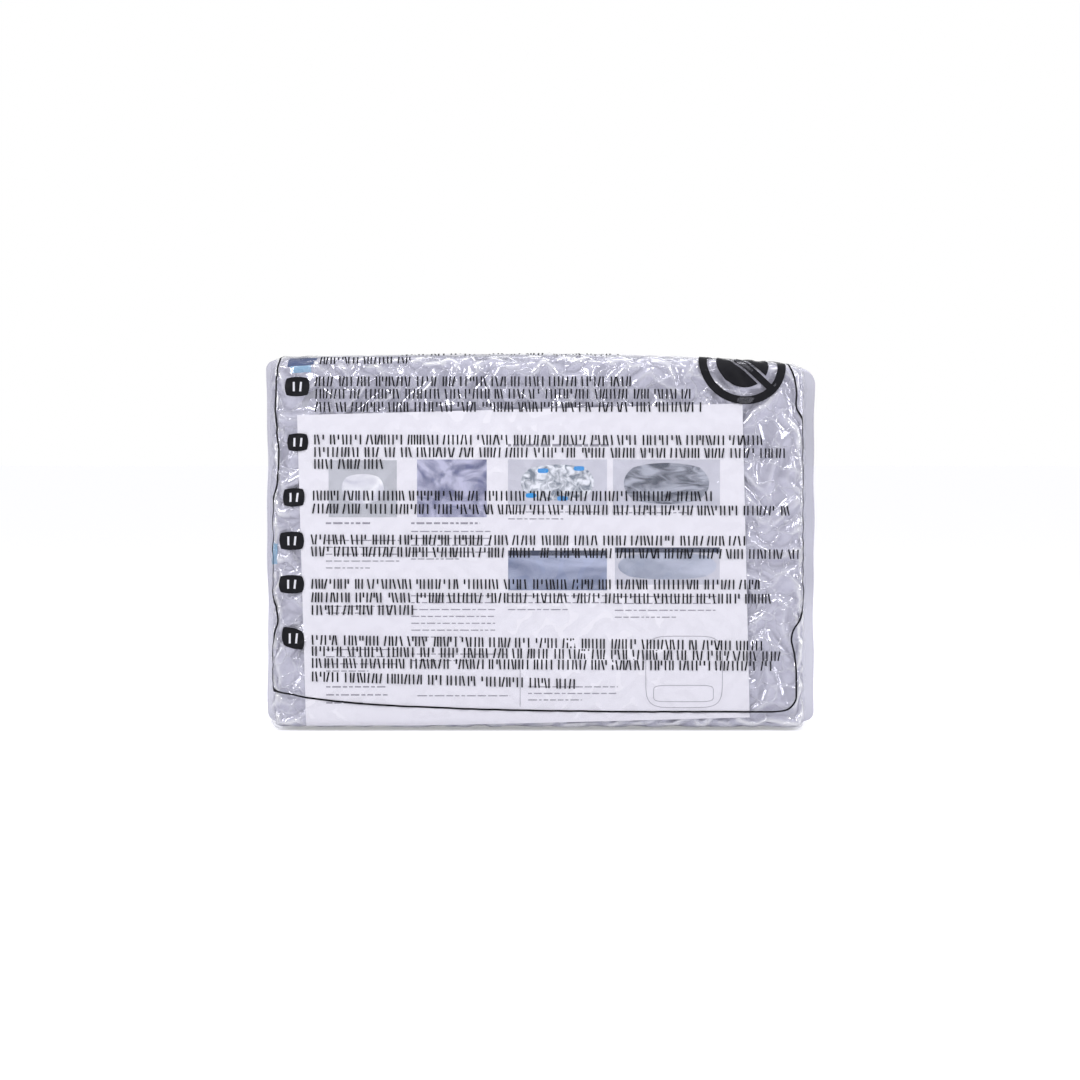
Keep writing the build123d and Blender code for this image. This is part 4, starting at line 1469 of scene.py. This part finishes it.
# ---- stage ---------------------------------------------------------------------------------
class PILLOWPACK_OT_stage(bpy.types.Operator):
    """Build the floor, the lights and the camera"""

    bl_idname = "pillowpack.stage"
    bl_label = "Stage"

    def execute(self, context):
        scene = context.scene
        settings = scene.pillowpack_stage
        deselect()
        bpy.ops.mesh.primitive_plane_add(size=60, location=(0, 0, 0))
        floor = bpy.context.object
        floor.name = "floor"
        dress(floor, self.floor_finish())
        self.world(scene)
        power = settings.light_power
        for name, place, size, watts in (
            ("key_light", (-0.75, -1.25, 1.05), (0.4, 0.3), 8.0),
            ("fill_light", (0.9, -1.3, 0.8), (0.2, 0.4), 4.5),
            ("side_light", (1.5, -0.35, 0.45), (0.2, 0.7), 4.0),
            ("left_light", (-1.5, -0.5, 0.5), (0.15, 0.7), 3.5),
            ("top_light", (0.0, -0.1, 1.3), (0.5, 0.2), 2.0),
            ("back_light", (0.4, 1.4, 1.0), (0.8, 0.4), 5.5),
        ):
            data = bpy.data.lights.new(name, "AREA")
            data.shape = "RECTANGLE"
            data.size, data.size_y = size
            data.energy = watts * power
            lamp = bpy.data.objects.new(name, data)
            lamp.location = place
            aim = Vector((0, 0, 0.12)) - Vector(place)
            lamp.rotation_euler = aim.to_track_quat("-Z", "Y").to_euler()
            scene.collection.objects.link(lamp)
        camera = bpy.data.objects.new("camera", bpy.data.cameras.new("camera"))
        camera.data.lens = settings.lens
        camera.data.sensor_width = 36
        distance = 0.72 / 36 * settings.lens - FRONT_Y * MM
        tip = settings.elevation
        target = Vector((0.0, 0.0, 0.1264))
        camera.location = target + Vector((0, -math.cos(tip), math.sin(tip))) * distance
        camera.rotation_euler = (target - camera.location).to_track_quat("-Z", "Y").to_euler()
        scene.collection.objects.link(camera)
        scene.camera = camera
        scene.view_settings.view_transform = "Standard"
        return {"FINISHED"}

    def floor_finish(self):
        """White board: the eye sees it bright, the pack gets a calmer bounce from it."""
        material, tree, shader = new_material("floor_board", 0.9)
        shader.inputs["Base Color"].default_value = (0.8, 0.8, 0.82, 1)
        shader.inputs["Specular IOR Level"].default_value = 0.0
        ray = tree.nodes.new("ShaderNodeLightPath")
        glow = node(tree, "ShaderNodeEmission", Strength=0.45)
        total = tree.nodes.new("ShaderNodeAddShader")
        mix = tree.nodes.new("ShaderNodeMixShader")
        out = tree.nodes["Material Output"]
        tree.links.new(shader.outputs[0], total.inputs[0])
        tree.links.new(glow.outputs[0], total.inputs[1])
        tree.links.new(ray.outputs["Is Camera Ray"], mix.inputs["Fac"])
        tree.links.new(shader.outputs[0], mix.inputs[1])
        tree.links.new(total.outputs[0], mix.inputs[2])
        tree.links.new(mix.outputs[0], out.inputs["Surface"])
        return material

    def world(self, scene):
        """White to the eye; for the light it gives, darker in front and brighter above."""
        world = bpy.data.worlds.new("studio")
        scene.world = world
        world.use_nodes = True
        tree = world.node_tree
        seen = node(tree, "ShaderNodeBackground", Color=(1, 1, 1, 1), Strength=1.0)
        place = tree.nodes.new("ShaderNodeTexCoord")
        split = tree.nodes.new("ShaderNodeSeparateXYZ")
        tree.links.new(place.outputs["Generated"], split.inputs[0])
        shade = ramp(tree, split.outputs["Z"], [
            (0.0, (0.18, 0.18, 0.21)), (0.35, (0.34, 0.34, 0.38)), (0.8, (0.86, 0.86, 0.90)),
        ])
        given = tree.nodes["Background"]
        tree.links.new(shade, given.inputs["Color"])
        given.inputs["Strength"].default_value = 1.0
        ray = tree.nodes.new("ShaderNodeLightPath")
        mix = tree.nodes.new("ShaderNodeMixShader")
        tree.links.new(ray.outputs["Is Camera Ray"], mix.inputs["Fac"])
        tree.links.new(given.outputs[0], mix.inputs[1])
        tree.links.new(seen.outputs[0], mix.inputs[2])
        tree.links.new(mix.outputs[0], tree.nodes["World Output"].inputs["Surface"])


OPERATORS = (
    PILLOWPACK_OT_stage,
    PILLOWPACK_OT_pillow,
    PILLOWPACK_OT_wrapper,
    PILLOWPACK_OT_leaflet,
    PILLOWPACK_OT_bag,
    PILLOWPACK_OT_printing,
)
SETTINGS = (
    ("pillowpack_films", PILLOWPACK_PG_films),
    ("pillowpack_print", PILLOWPACK_PG_print),
    ("pillowpack_stage", PILLOWPACK_PG_stage),
)


class PILLOWPACK_PT_panel(bpy.types.Panel):
    """Lists the pieces of the pack"""

    bl_label = "Pillow Pack"
    bl_idname = "PILLOWPACK_PT_panel"
    bl_space_type = "VIEW_3D"
    bl_region_type = "UI"
    bl_category = "Pillow Pack"

    def draw(self, context):
        for operator in OPERATORS:
            self.layout.operator(operator.bl_idname)
        for name, kind in SETTINGS:
            settings = getattr(context.scene, name)
            for prop in kind.__annotations__:
                self.layout.prop(settings, prop)


def register():
    for name, kind in SETTINGS:
        bpy.utils.register_class(kind)
        setattr(bpy.types.Scene, name, PointerProperty(type=kind))
    for part in (*OPERATORS, PILLOWPACK_PT_panel):
        bpy.utils.register_class(part)


def unregister():
    for part in reversed((*OPERATORS, PILLOWPACK_PT_panel)):
        bpy.utils.unregister_class(part)
    for name, kind in reversed(SETTINGS):
        delattr(bpy.types.Scene, name)
        bpy.utils.unregister_class(kind)


def main():
    register()
    deselect()
    bpy.ops.pillowpack.stage()
    bpy.ops.pillowpack.pillow()
    bpy.ops.pillowpack.wrapper()
    bpy.ops.pillowpack.leaflet()
    bpy.ops.pillowpack.bag()
    bpy.ops.pillowpack.printing()


if __name__ == "__main__":
    main()
